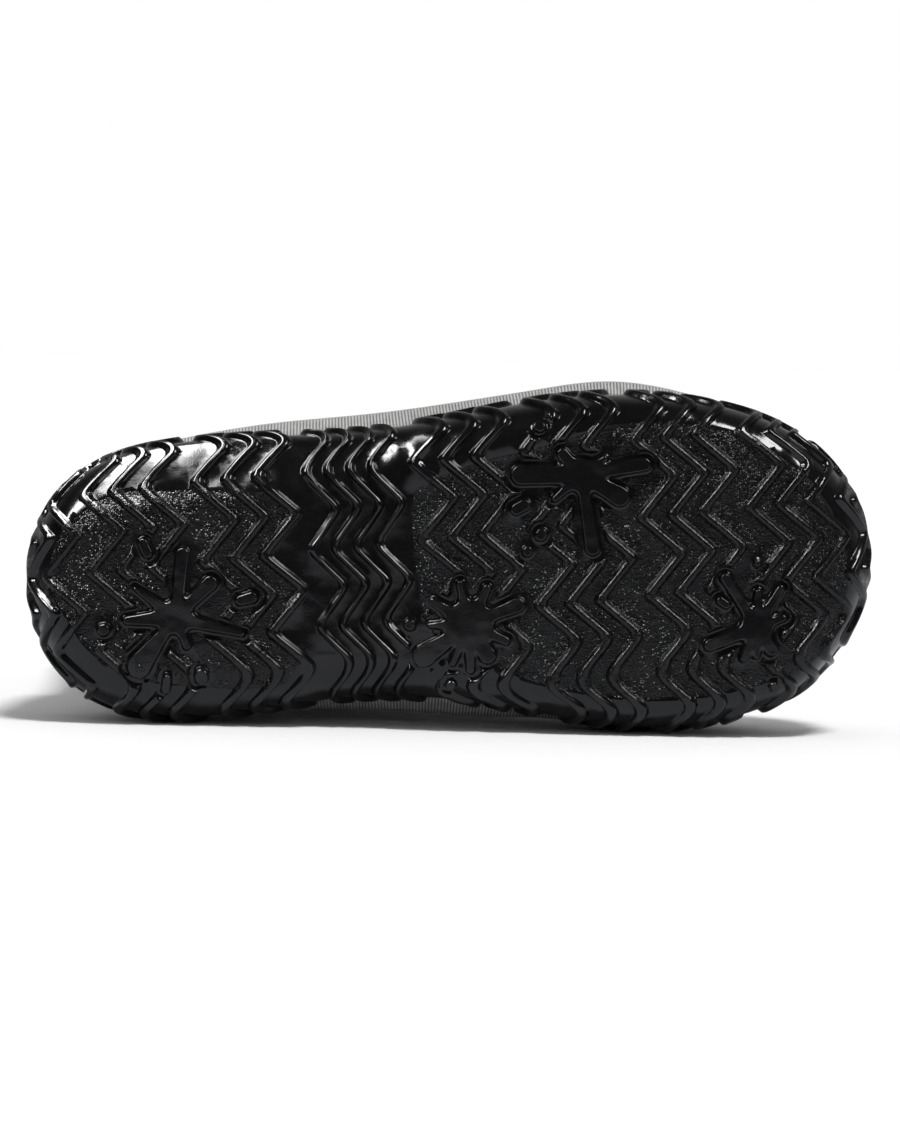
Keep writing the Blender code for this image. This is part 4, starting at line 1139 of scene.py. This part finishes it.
    @staticmethod
    def through(fixed: np.ndarray, wanted: np.ndarray) -> np.ndarray:
        """Rings on natural splines through the fixed rings, at the wanted places between them."""
        count = len(fixed)
        flat = fixed.reshape(count, -1)
        system = np.eye(count)
        right = np.zeros_like(flat)
        for i in range(1, count - 1):
            system[i, i - 1 : i + 2] = 1, 4, 1
            right[i] = 6 * (flat[i + 1] - 2 * flat[i] + flat[i - 1])
        bends = np.linalg.solve(system, right)
        i = np.clip(np.floor(wanted).astype(int), 0, count - 2)
        after = (wanted - i)[:, None]
        before = 1 - after
        bend = ((before**3 - before) * bends[i] + (after**3 - after) * bends[i + 1]) / 6
        return (before * flat[i] + after * flat[i + 1] + bend).reshape(-1, *fixed.shape[1:])

    def with_cuff(self, rings: np.ndarray) -> np.ndarray:
        """The rings with the cuff's step, and with two more rings that round it."""
        top = rings[-1]
        heights = rings[:, :, 2].mean(axis=1)
        below = rings[heights < self.boot_height - self.cuff_height - 2 * self.cuff_step]
        last = below[-1]
        way = (self.boot_height - self.cuff_height - last[:, 2:]) / (top[:, 2:] - last[:, 2:])
        foot = last + (top - last) * way
        away = foot[:, :2] - foot[:, :2].mean(axis=0)
        flat_out = np.column_stack([unit(away) * self.cuff_step, np.zeros(len(away))])
        up = np.array([0, 0, self.cuff_step])
        face = [foot + flat_out * 0.75 + up * 0.25, foot + flat_out + up]
        face += [foot + (top - foot) * share + flat_out for share in (0.25, 0.5, 0.75, 0.93)]
        face += [top + flat_out * 0.8 - up * 0.2, top]
        return np.array([*below, foot, *face])

    def directions(self, rings: np.ndarray) -> np.ndarray:
        """Outward directions of the rings."""
        up = np.gradient(rings, axis=0)
        around = np.roll(rings, -2, axis=1) - np.roll(rings, 2, axis=1)
        return unit(np.cross(around, up))

    def creased(self, rings: np.ndarray) -> np.ndarray:
        """How far each point is moved outward by the soft creases."""
        height = rings[:, :, 2] / self.boot_height
        moved = np.zeros(height.shape)
        for crease in self.creases:
            turn = self.turn - crease.turn
            level = crease.height + crease.rise * turn
            across = (height - level) * self.boot_height / crease.width
            spread = np.clip(1 - (turn / crease.spread) ** 2, 0, 1) ** 2
            if crease.side is Side.OUTER:
                spread = spread * self.on_outer
            if crease.side is Side.INNER:
                spread = spread * ~self.on_outer
            moved += crease.depth * np.exp(-(across**2)) * spread
        over_rim = rings[:, :, 2] - self.shell.rim(self.line[:, 0])
        under_cuff = self.boot_height - self.cuff_height - rings[:, :, 2]
        free = np.clip((over_rim - self.crease_clear) / self.crease_clear, 0, 1)
        return moved * free * np.clip(under_cuff / self.crease_fade, 0, 1)

    def build(self, knit: bpy.types.Material, lining: bpy.types.Material) -> bpy.types.Object:
        """Builds the piece.

        Args:
            knit: the outer face's material.
            lining: the inner face's material.

        Returns:
            The object.
        """
        plain = self.rings()
        plain += self.directions(plain) * self.creased(plain)[:, :, None]
        away = self.directions(plain)
        pitch = np.linalg.norm(np.roll(plain, -1, axis=1) - plain, axis=2)
        pitch = pitch / np.linalg.norm(np.roll(self.line, -1, axis=0) - self.line, axis=1).mean()
        over_rim = plain[:, :, 2] - self.shell.rim(self.line[:, 0]) - self.gap
        over_rim = np.clip(over_rim / self.rib_start, 0, 1)
        wave = np.where(np.arange(self.columns) % 2, -1.0, 1.0)
        outer = plain + away * (wave * self.rib_depth * pitch * over_rim)[:, :, None]
        walked = np.cumsum(np.linalg.norm(np.diff(plain, axis=0, prepend=plain[:1]), axis=2), axis=0)
        inner = plain - away * self.wall
        lining_line = self.line - self.outward * (self.shell.wall + self.gap + self.wall)
        inner[0] = np.column_stack([lining_line, plain[0][:, 2]])
        inner[1] = np.column_stack([lining_line, plain[1][:, 2] + self.wall / 2])
        inner[-1][:, 2] = plain[-1][:, 2]
        kept = [0, 1, 3, *range(5, len(inner) - 9, 3), *range(len(inner) - 9, len(inner), 2)]
        kept = sorted({*kept, len(inner) - 1})
        work = MeshWork()
        # groove marks the pushed-in columns, which the knit colours dark as painted shade
        groove = np.where(np.arange(self.columns) % 2, 1.0, 0.0)
        outside = [work.add(ring, groove=groove, rise=rise) for ring, rise in zip(outer, walked)]
        inside = [work.add(inner[row], groove=0.0, rise=walked[row]) for row in kept]
        for one, other in zip(outside[:-1], outside[1:]):
            work.band(one, other)
        for one, other in zip(inside[:-1], inside[1:]):
            work.band(other, one, 1)
        work.band(inside[0], outside[0], 1)
        work.band(outside[-1], inside[-1])
        self.cuff_ring = outer[self.stitch_ring]
        return work.object("textile_upper", [knit, lining])


@dataclass
class CuffStitches:
    """The row of stitches that holds the cuff down."""

    count: int = 92
    length: float = 0.0019
    radius: float = 0.00026
    sides: int = 8

    def build(self, ring: np.ndarray, thread: bpy.types.Material) -> bpy.types.Object:
        """Builds the piece.

        Args:
            ring: the cuff's ring that the stitches follow.
            thread: their material.

        Returns:
            The object.
        """
        middle = ring.mean(axis=0)
        walked = np.concatenate([[0], np.cumsum(np.linalg.norm(np.diff(ring, axis=0), axis=1))])
        work = MeshWork()
        for place in np.linspace(0, walked[-1], self.count, endpoint=False):
            at = np.array([np.interp(place, walked, ring[:, i]) for i in range(3)])
            after = np.array([np.interp(place + self.length, walked, ring[:, i]) for i in range(3)])
            along = unit(after - at)
            away = unit((at - middle) * np.array([1, 1, 0]))
            across = np.cross(along, away)
            loops = []
            for way, size in ((0.0, 0.35), (0.12, 0.8), (0.3, 1.0), (0.7, 1.0), (0.88, 0.8), (1.0, 0.35)):
                centre = at + along * self.length * way + away * self.radius * (size - 0.6)
                turns = np.linspace(0, 2 * math.pi, self.sides, endpoint=False)[:, None]
                spoke = np.cos(turns) * away + np.sin(turns) * across
                loops.append(work.add(centre + spoke * self.radius * size))
            for one, other in zip(loops[:-1], loops[1:]):
                work.band(one, other)
            work.face(loops[0][::-1])
            work.face(loops[-1])
        return work.object("cuff_stitches", [thread])


@dataclass
class Insole:
    """The loose foam insole with its felt top."""

    shell: SoleShell
    upper: Upper
    thickness: float = 0.003
    steps: int = 360
    spacing: float = 0.003
    bevel: float = 0.0008

    def build(self, felt: bpy.types.Material) -> bpy.types.Object:
        """Builds the piece.

        Args:
            felt: its material.

        Returns:
            The object.
        """
        inset = self.shell.wall + self.upper.gap + self.upper.wall + self.upper.gap
        step = self.shell.fine_steps // self.steps
        line, outward = self.shell.line[::step], self.shell.outward[::step]
        work = MeshWork()
        loops = []
        for inward, share in ((0.0, 0.0), (0.0, 0.70), (0.25, 0.90), (1.0, 1.0)):
            plan = line - outward * (inset + inward * self.bevel)
            base = self.shell.floor((line - outward * inset)[:, 0]) + self.upper.gap
            loops.append(work.add(np.column_stack([plan, base + share * self.thickness])))
        for one, other in zip(loops[:-1], loops[1:]):
            work.band(one, other)
        work.lid(loops[0], lambda x: self.shell.floor(x) + self.upper.gap, self.spacing)
        work.lid(loops[-1], lambda x: self.shell.floor(x) + self.upper.gap + self.thickness, self.spacing)
        return work.object("foam_insole", [felt])


class NodeKit:
    """Short calls for shader nodes in one tree."""

    def __init__(self, tree: bpy.types.NodeTree) -> None:
        """Keeps the tree."""
        self.tree = tree

    def node(self, kind: str, **settings: object) -> bpy.types.Node:
        """Adds a node.

        Args:
            kind: its type's name.
            settings: values for its properties.

        Returns:
            The node.
        """
        made = self.tree.nodes.new(kind)
        for name, value in settings.items():
            setattr(made, name, value)
        return made

    def link(self, source: object, target: object) -> None:
        """Joins two sockets, or sets a socket to a plain value."""
        if isinstance(source, bpy.types.NodeSocket):
            self.tree.links.new(source, target)
        else:
            target.default_value = source

    def math(self, operation: str, *values: object) -> bpy.types.NodeSocket:
        """The result of a Math node."""
        made = self.node("ShaderNodeMath", operation=operation)
        for value, socket in zip(values, made.inputs):
            self.link(value, socket)
        return made.outputs[0]

    def mix(self, factor: object, one: object, other: object) -> bpy.types.NodeSocket:
        """A colour between two colours."""
        made = self.node("ShaderNodeMix", data_type="RGBA")
        for value, socket in zip((factor, one, other), (made.inputs[0], made.inputs[6], made.inputs[7])):
            self.link(value, socket)
        return made.outputs[2]

    def blend(self, factor: object, low: object, high: object) -> bpy.types.NodeSocket:
        """A number between two numbers."""
        made = self.node("ShaderNodeMix", data_type="FLOAT")
        for value, socket in zip((factor, low, high), (made.inputs[0], made.inputs[2], made.inputs[3])):
            self.link(value, socket)
        return made.outputs[0]

    def attribute(self, name: str) -> bpy.types.NodeSocket:
        """A named value of the mesh."""
        return self.node("ShaderNodeAttribute", attribute_name=name).outputs["Fac"]

    def place(self) -> bpy.types.NodeSocket:
        """The place in the object's own coordinates, in metres."""
        return self.node("ShaderNodeTexCoord").outputs["Object"]

    def noise(
        self, scale: object, detail: float, vector: object, roughness: float = 0.5
    ) -> bpy.types.NodeSocket:
        """A noise from 0 to 1.

        Args:
            scale: how many lumps there are in a metre.
            detail: how many finer layers are added.
            vector: the place.
            roughness: how strong the finer layers are.

        Returns:
            The noise.
        """
        made = self.node("ShaderNodeTexNoise")
        self.link(vector, made.inputs["Vector"])
        self.link(scale, made.inputs["Scale"])
        self.link(detail, made.inputs["Detail"])
        self.link(roughness, made.inputs["Roughness"])
        return made.outputs["Fac"]

    def bump(
        self, height: object, distance: float, strength: object, normal: object = None
    ) -> bpy.types.NodeSocket:
        """A normal from a height.

        Args:
            height: the height, from about 0 to 1.
            distance: how deep that is, in metres.
            strength: how much of it counts.
            normal: the normal that it is added to.

        Returns:
            The normal.
        """
        made = self.node("ShaderNodeBump")
        self.link(height, made.inputs["Height"])
        self.link(distance, made.inputs["Distance"])
        self.link(strength, made.inputs["Strength"])
        if normal is not None:
            self.link(normal, made.inputs["Normal"])
        return made.outputs["Normal"]

    def group(self, tree: bpy.types.NodeTree, **values: object) -> bpy.types.Node:
        """Places a node group with its own values; spaces in a socket's name are written as _."""
        made = self.node("ShaderNodeGroup", node_tree=tree)
        for name, value in values.items():
            self.link(value, made.inputs[name.replace("_", " ")])
        return made


class SharedEffects:
    """Node groups that more than one material uses, each built once."""

    def __init__(self) -> None:
        """Builds the groups."""
        self.grain = self.build_grain()
        self.wave = self.build_wave()
        self.nap = self.build_nap()
        self.dust = self.build_dust()

    @staticmethod
    def start(name: str, inputs: dict[str, float], outputs: Sequence[str]) -> tuple[NodeKit, dict, dict]:
        """An empty group with named sockets.

        Args:
            name: the group's name.
            inputs: its number inputs with their defaults.
            outputs: its number outputs.
        """
        tree = bpy.data.node_groups.new(name, "ShaderNodeTree")
        for label, value in inputs.items():
            socket = tree.interface.new_socket(label, in_out="INPUT", socket_type="NodeSocketFloat")
            socket.default_value = value
        for label in outputs:
            tree.interface.new_socket(label, in_out="OUTPUT", socket_type="NodeSocketFloat")
        kit = NodeKit(tree)
        entry = kit.node("NodeGroupInput")
        leave = kit.node("NodeGroupOutput")
        sources = {label: entry.outputs[label] for label in inputs}
        return kit, sources, {label: leave.inputs[label] for label in outputs}

    def build_grain(self) -> bpy.types.NodeTree:
        """Spark-worn mould stipple: pits and points of about one size."""
        kit, given, out = self.start("mould stipple", {"Size": 0.0005, "Amount": 1.0}, ["Height", "Glint"])
        scale = kit.math("DIVIDE", 1.0, given["Size"])
        cells = kit.node("ShaderNodeTexVoronoi", feature="F1")
        kit.link(kit.place(), cells.inputs["Vector"])
        kit.link(scale, cells.inputs["Scale"])
        chance = kit.node("ShaderNodeSeparateColor")
        kit.link(cells.outputs["Color"], chance.inputs[0])
        tall = kit.math("MULTIPLY_ADD", kit.math("POWER", chance.outputs[0], 2.2), 1.5, 0.15)
        points = kit.math("MULTIPLY", kit.math("SUBTRACT", 0.75, cells.outputs["Distance"]), tall)
        coarse = kit.noise(kit.math("MULTIPLY", scale, 0.5), 3.0, kit.place(), 0.6)
        height = kit.math("ADD", points, kit.math("MULTIPLY", coarse, 0.5))
        kit.link(kit.math("MULTIPLY", height, given["Amount"]), out["Height"])
        kit.link(kit.math("MULTIPLY", chance.outputs[0], given["Amount"]), out["Glint"])
        return kit.tree

    def build_wave(self) -> bpy.types.NodeTree:
        """Slow waviness of a moulded or worn surface."""
        kit, given, out = self.start("slow waviness", {"Size": 0.008, "Amount": 1.0}, ["Height"])
        scale = kit.math("DIVIDE", 1.0, given["Size"])
        slow = kit.noise(scale, 2.0, kit.place(), 0.45)
        kit.link(kit.math("MULTIPLY", slow, given["Amount"]), out["Height"])
        return kit.tree

    def build_nap(self) -> bpy.types.NodeTree:
        """Short tangled fibres of felt, fleece or yarn."""
        kit, given, out = self.start("fibre nap", {"Size": 0.0007, "Amount": 1.0}, ["Height", "Shade"])
        scale = kit.math("DIVIDE", 1.0, given["Size"])
        fine = kit.noise(scale, 5.0, kit.place(), 0.7)
        tufts = kit.noise(kit.math("MULTIPLY", scale, 0.16), 2.0, kit.place())
        kit.link(kit.math("MULTIPLY", kit.math("ADD", fine, tufts), given["Amount"]), out["Height"])
        kit.link(kit.math("MULTIPLY", fine, tufts), out["Shade"])
        return kit.tree

    def build_dust(self) -> bpy.types.NodeTree:
        """Thin patchy dust and handling haze."""
        kit, given, out = self.start("handling haze", {"Size": 0.03, "Amount": 0.3}, ["Mask"])
        scale = kit.math("DIVIDE", 1.0, given["Size"])
        patches = kit.noise(scale, 4.0, kit.place(), 0.6)
        specks = kit.noise(kit.math("MULTIPLY", scale, 22.0), 2.0, kit.place(), 0.6)
        mask = kit.math("MULTIPLY", kit.math("MULTIPLY", patches, specks), 2.2)
        kit.link(kit.math("MULTIPLY", kit.math("MINIMUM", mask, 1.0), given["Amount"]), out["Mask"])
        return kit.tree


def fresh_material(name: str) -> tuple[bpy.types.Material, NodeKit, bpy.types.Node]:
    """A material with its Principled shader."""
    material = bpy.data.materials.new(name)
    material.use_nodes = True
    kit = NodeKit(material.node_tree)
    return material, kit, material.node_tree.nodes["Principled BSDF"]


@dataclass(frozen=True)
class RubberFinish:
    """Black moulded rubber: polished walls and ribs, stippled pads."""

    effects: SharedEffects
    colour: tuple[float, float, float, float] = (0.0024, 0.0025, 0.0028, 1.0)
    haze: tuple[float, float, float, float] = (0.0095, 0.0100, 0.0108, 1.0)
    polished: float = 0.13
    stippled: float = 0.19
    stipple_size: float = 0.00046
    stipple_depth: float = 0.00027
    wave_size: float = 0.011
    wave_depth: float = 0.0016
    haze_size: float = 0.028
    haze_amount: float = 0.45
    coat: float = 0.35
    pad_coat: float = 0.05
    coat_roughness: float = 0.07

    def material(self) -> bpy.types.Material:
        """Builds the material."""
        material, kit, shader = fresh_material("moulded black rubber")
        pad = kit.attribute("stipple")
        grain = kit.group(self.effects.grain, Size=self.stipple_size, Amount=1.0)
        wave = kit.group(self.effects.wave, Size=self.wave_size, Amount=1.0)
        haze = kit.group(self.effects.dust, Size=self.haze_size, Amount=self.haze_amount)
        kit.link(kit.mix(haze.outputs["Mask"], self.colour, self.haze), shader.inputs["Base Color"])
        smooth = kit.blend(haze.outputs["Mask"], self.polished, self.polished + 0.10)
        kit.link(kit.blend(pad, smooth, self.stippled), shader.inputs["Roughness"])
        waved = kit.bump(wave.outputs["Height"], self.wave_depth, 0.5)
        strength = kit.blend(pad, 0.05, 0.95)
        stippled = kit.bump(grain.outputs["Height"], self.stipple_depth, strength, waved)
        kit.link(stippled, shader.inputs["Normal"])
        kit.link(kit.blend(pad, self.coat, self.pad_coat), shader.inputs["Coat Weight"])
        shader.inputs["Coat Roughness"].default_value = self.coat_roughness
        shader.inputs["IOR"].default_value = 1.5
        return material


@dataclass(frozen=True)
class KnitFinish:
    """Ribbed textile, matt, with flecked yarn; its grooves and stitch hollows are coloured darker as painted
    shade.
    """

    effects: SharedEffects
    ridge: tuple[float, float, float, float] = (0.72, 0.72, 0.70, 1.0)
    # groove colour: painted shade in the rib grooves, not a second yarn
    groove: tuple[float, float, float, float] = (0.03, 0.03, 0.03, 1.0)
    haze: tuple[float, float, float, float] = (0.32, 0.32, 0.315, 1.0)
    stitch: float = 0.00075
    yarn_depth: float = 0.00016
    roughness: float = 0.86

    def material(self) -> bpy.types.Material:
        """Builds the material."""
        material, kit, shader = fresh_material("ribbed textile")
        groove = kit.attribute("groove")
        rise = kit.attribute("rise")
        phase = kit.math("MULTIPLY", kit.math("DIVIDE", rise, self.stitch), math.tau)
        loops = kit.math("SINE", kit.math("ADD", phase, kit.math("MULTIPLY", groove, 2.0)))
        nap = kit.group(self.effects.nap, Size=0.00035, Amount=1.0)
        haze = kit.group(self.effects.dust, Size=0.04, Amount=0.4)
        fleck = kit.math("MULTIPLY_ADD", nap.outputs["Shade"], 0.9, -0.12)
        # painted shade: darker in the pushed-in grooves and along the stitch hollows; the fleck added next is
        # random yarn tone
        depth = kit.math("ADD", kit.math("POWER", groove, 1.4), kit.math("MULTIPLY", loops, 0.10))
        painted_shade_and_fleck = kit.math("MINIMUM", kit.math("MAXIMUM", kit.math("ADD", depth, fleck), 0.0), 1.0)
        yarn = kit.mix(painted_shade_and_fleck, self.ridge, self.groove)
        kit.link(kit.mix(haze.outputs["Mask"], yarn, self.haze), shader.inputs["Base Color"])
        height = kit.math("ADD", kit.math("MULTIPLY", loops, 0.35), nap.outputs["Height"])
        kit.link(kit.bump(height, self.yarn_depth, 0.8), shader.inputs["Normal"])
        shader.inputs["Roughness"].default_value = self.roughness
        shader.inputs["Sheen Weight"].default_value = 0.25
        shader.inputs["Sheen Roughness"].default_value = 0.5
        shader.inputs["Specular IOR Level"].default_value = 0.25
        return material


@dataclass(frozen=True)
class NapFinish:
    """Felt, fleece or thread: a colour with a fibre nap."""

    effects: SharedEffects
    name: str
    colour: tuple[float, float, float, float]
    light: tuple[float, float, float, float]
    size: float
    depth: float

    def material(self) -> bpy.types.Material:
        """Builds the material."""
        material, kit, shader = fresh_material(self.name)
        nap = kit.group(self.effects.nap, Size=self.size, Amount=1.0)
        shade = kit.math("MULTIPLY", nap.outputs["Shade"], 2.4)
        kit.link(kit.mix(shade, self.colour, self.light), shader.inputs["Base Color"])
        kit.link(kit.bump(nap.outputs["Height"], self.depth, 0.9), shader.inputs["Normal"])
        shader.inputs["Roughness"].default_value = 0.93
        shader.inputs["Sheen Weight"].default_value = 0.35
        shader.inputs["Specular IOR Level"].default_value = 0.2
        return material


@dataclass(frozen=True)
class Softbox:
    """One soft studio light."""

    name: str
    place: tuple[float, float, float]
    aim: tuple[float, float, float]
    size: tuple[float, float]
    radiance: float
    spread: float = math.pi

    def build(self) -> None:
        """Adds the light, aimed, seen only where something glossy mirrors it."""
        data = bpy.data.lights.new(self.name, "AREA")
        data.shape = "RECTANGLE"
        data.size, data.size_y = self.size
        data.energy = self.radiance * math.pi * self.size[0] * self.size[1]
        data.spread = self.spread
        light = bpy.data.objects.new(self.name, data)
        bpy.context.scene.collection.objects.link(light)
        light.location = self.place
        light.rotation_mode = "QUATERNION"
        light.rotation_quaternion = (Vector(self.aim) - Vector(self.place)).to_track_quat("-Z", "Y")
        light.visible_camera = False
        light.visible_diffuse = False


@dataclass
class Studio:
    """Pale floor, soft light and the camera."""

    floor_radius: float = 7.0
    frame_width: float = 0.2149
    distance: float = 1.2
    elevation: float = math.radians(3.0)
    roll: float = math.radians(1.25)
    target: tuple[float, float, float] = (0.0, -0.084, 0.0409)
    sensor: float = 36.0
    picture: tuple[int, int] = (900, 1125)
    main_place: tuple[float, float, float] = (0.36, -0.50, 1.4)
    main_angle: float = math.radians(14.0)
    main_strength: float = 2.35
    floor_dark: tuple[float, float, float, float] = (0.90, 0.90, 0.90, 1.0)
    floor_pale: tuple[float, float, float, float] = (0.93, 0.93, 0.93, 1.0)
    mirrored_near: tuple[float, float, float, float] = (0.42, 0.43, 0.45, 1.0)
    mirrored_far: tuple[float, float, float, float] = (0.03, 0.03, 0.033, 1.0)
    mirrored_reach: tuple[float, float] = (0.2, 0.7)
    world_light: tuple[float, float, float, float] = (0.46, 0.46, 0.46, 1.0)
    world_seen: tuple[float, float, float, float] = (1.0, 1.0, 1.0, 1.0)
    world_front: tuple[float, float, float, float] = (0.018, 0.0185, 0.020, 1.0)
    world_back: tuple[float, float, float, float] = (0.26, 0.26, 0.26, 1.0)
    softboxes: Sequence[Softbox] = (
        Softbox(
            "over_heel",
            place=(-0.104, -0.075, 0.18),
            aim=(-0.104, -0.076, 0.0),
            size=(0.052, 0.20),
            radiance=6.8,
            spread=math.radians(84.0),
        ),
        Softbox("right_edge", (0.26, -0.22, 0.33), (0.0, -0.09, 0.045), (0.08, 0.24), 16.0),
        Softbox("left_edge", (-0.25, -0.22, 0.33), (0.05, -0.09, 0.045), (0.08, 0.24), 22.0),
    )

    def build(self) -> None:
        """Builds everything round the boot."""
        self.build_floor()
        self.build_world()
        self.build_main_light()
        for softbox in self.softboxes:
            softbox.build()
        self.build_camera()
        bpy.context.scene.view_settings.view_transform = "Standard"

    def build_main_light(self) -> None:
        """Adds the wide main light from above and in front, for the floor and the textile."""
        data = bpy.data.lights.new("main_light", "SUN")
        data.energy = self.main_strength
        data.angle = self.main_angle
        light = bpy.data.objects.new("main_light", data)
        bpy.context.scene.collection.objects.link(light)
        light.rotation_mode = "QUATERNION"
        light.rotation_quaternion = (-Vector(self.main_place)).to_track_quat("-Z", "Y")
        light.visible_glossy = False

    def build_floor(self) -> None:
        """Adds the floor, a wide disc."""
        turns = np.linspace(0, 2 * math.pi, 96, endpoint=False)
        points = [(self.floor_radius * math.cos(t), self.floor_radius * math.sin(t), 0.0) for t in turns]
        mesh = bpy.data.meshes.new("floor")
        mesh.from_pydata(points, [], [tuple(range(len(points)))])
        floor = bpy.data.objects.new("floor", mesh)
        bpy.context.scene.collection.objects.link(floor)
        material, kit, shader = fresh_material("pale floor")
        shade = kit.noise(1.5, 2.0, kit.place())
        pale = kit.mix(shade, self.floor_dark, self.floor_pale)
        # painted reflection: in glossy rays the floor shows grey near the boot, fading to nearly black
        # further out, instead of its own pale colour
        far = kit.node("ShaderNodeMapRange")
        walked = kit.node("ShaderNodeVectorMath", operation="LENGTH")
        kit.link(kit.place(), walked.inputs[0])
        kit.link(walked.outputs["Value"], far.inputs["Value"])
        far.inputs["From Min"].default_value = self.mirrored_reach[0]
        far.inputs["From Max"].default_value = self.mirrored_reach[1]
        mirrored = kit.mix(far.outputs[0], self.mirrored_near, self.mirrored_far)
        glossy = kit.node("ShaderNodeLightPath").outputs["Is Glossy Ray"]
        kit.link(kit.mix(glossy, pale, mirrored), shader.inputs["Base Color"])
        shader.inputs["Roughness"].default_value = 0.9
        shader.inputs["Specular IOR Level"].default_value = 0.0
        mesh.materials.append(material)
        floor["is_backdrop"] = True

    def build_world(self) -> None:
        """Adds the surrounding light: white, but dim where polished rubber mirrors it."""
        world = bpy.data.worlds.new("studio")
        bpy.context.scene.world = world
        world.use_nodes = True
        kit = NodeKit(world.node_tree)
        background = world.node_tree.nodes["Background"]
        direction = kit.node("ShaderNodeSeparateXYZ")
        kit.link(kit.node("ShaderNodeTexCoord").outputs["Generated"], direction.inputs[0])
        behind = kit.node("ShaderNodeMapRange", interpolation_type="SMOOTHSTEP")
        kit.link(direction.outputs["Y"], behind.inputs["Value"])
        behind.inputs["From Min"].default_value = 0.1
        behind.inputs["From Max"].default_value = 1.0
        mirrored = kit.mix(behind.outputs[0], self.world_front, self.world_back)
        path = kit.node("ShaderNodeLightPath")
        pale = kit.mix(path.outputs["Is Camera Ray"], self.world_light, self.world_seen)
        kit.link(kit.mix(path.outputs["Is Glossy Ray"], pale, mirrored), background.inputs["Color"])

    def build_camera(self) -> None:
        """Adds the camera at the photograph's angle."""
        data = bpy.data.cameras.new("camera")
        data.sensor_width = self.sensor
        across = self.sensor * self.picture[0] / self.picture[1]
        data.lens = across * self.distance / self.frame_width
        data.clip_start, data.clip_end = 0.05, 60.0
        camera = bpy.data.objects.new("camera", data)
        bpy.context.scene.collection.objects.link(camera)
        back = Vector((0, -math.cos(self.elevation), math.sin(self.elevation)))
        turn = (-back).to_track_quat("-Z", "Y").to_matrix() @ Matrix.Rotation(self.roll, 3, "Z")
        camera.matrix_world = Matrix.Translation(Vector(self.target) + back * self.distance) @ turn.to_4x4()
        bpy.context.scene.camera = camera


def corners(box: tuple[object, object]) -> list[list[float]]:
    """A box as plain lists."""
    return [[float(value) for value in corner] for corner in box]


def write_sizes(model: list[list[float]]) -> None:
    """Gathers the model's box and the visual model's box into a dictionary that is not kept; nothing is
    written.
    """
    {"model": model, "visual": corners(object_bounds())}


def main() -> None:
    """Builds the boot and the studio."""
    logging.basicConfig(level=logging.INFO, format="%(message)s")
    model = corners(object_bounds())
    Studio().build()
    effects = SharedEffects()
    shell = SoleShell()
    rubber = RubberFinish(effects).material()
    knit = KnitFinish(effects).material()
    lining = NapFinish(
        effects,
        "fleece lining",
        colour=(0.035, 0.035, 0.037, 1.0),
        light=(0.11, 0.11, 0.115, 1.0),
        size=0.0011,
        depth=0.0005,
    )
    felt = NapFinish(
        effects,
        "insole felt",
        colour=(0.03, 0.03, 0.034, 1.0),
        light=(0.10, 0.10, 0.11, 1.0),
        size=0.0006,
        depth=0.0002,
    )
    thread = NapFinish(
        effects,
        "thread",
        colour=(0.05, 0.05, 0.05, 1.0),
        light=(0.16, 0.16, 0.16, 1.0),
        size=0.0003,
        depth=0.00008,
    )
    upper = Upper(shell)
    pieces = {
        "sole": Sole(shell, Tread(shell)).build(rubber),
        "upper": upper.build(knit, lining.material()),
        "insole": Insole(shell, upper).build(felt.material()),
    }
    for node, piece in pieces.items():
        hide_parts(node)
        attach(piece, "root")
        LOG.info("%s: %d faces", piece.name, len(piece.data.polygons))
    stitches = CuffStitches().build(upper.cuff_ring, thread.material())
    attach(stitches, "root")
    LOG.info("%s: %d faces", stitches.name, len(stitches.data.polygons))
    write_sizes(model)


if __name__ == "__main__":
    main()
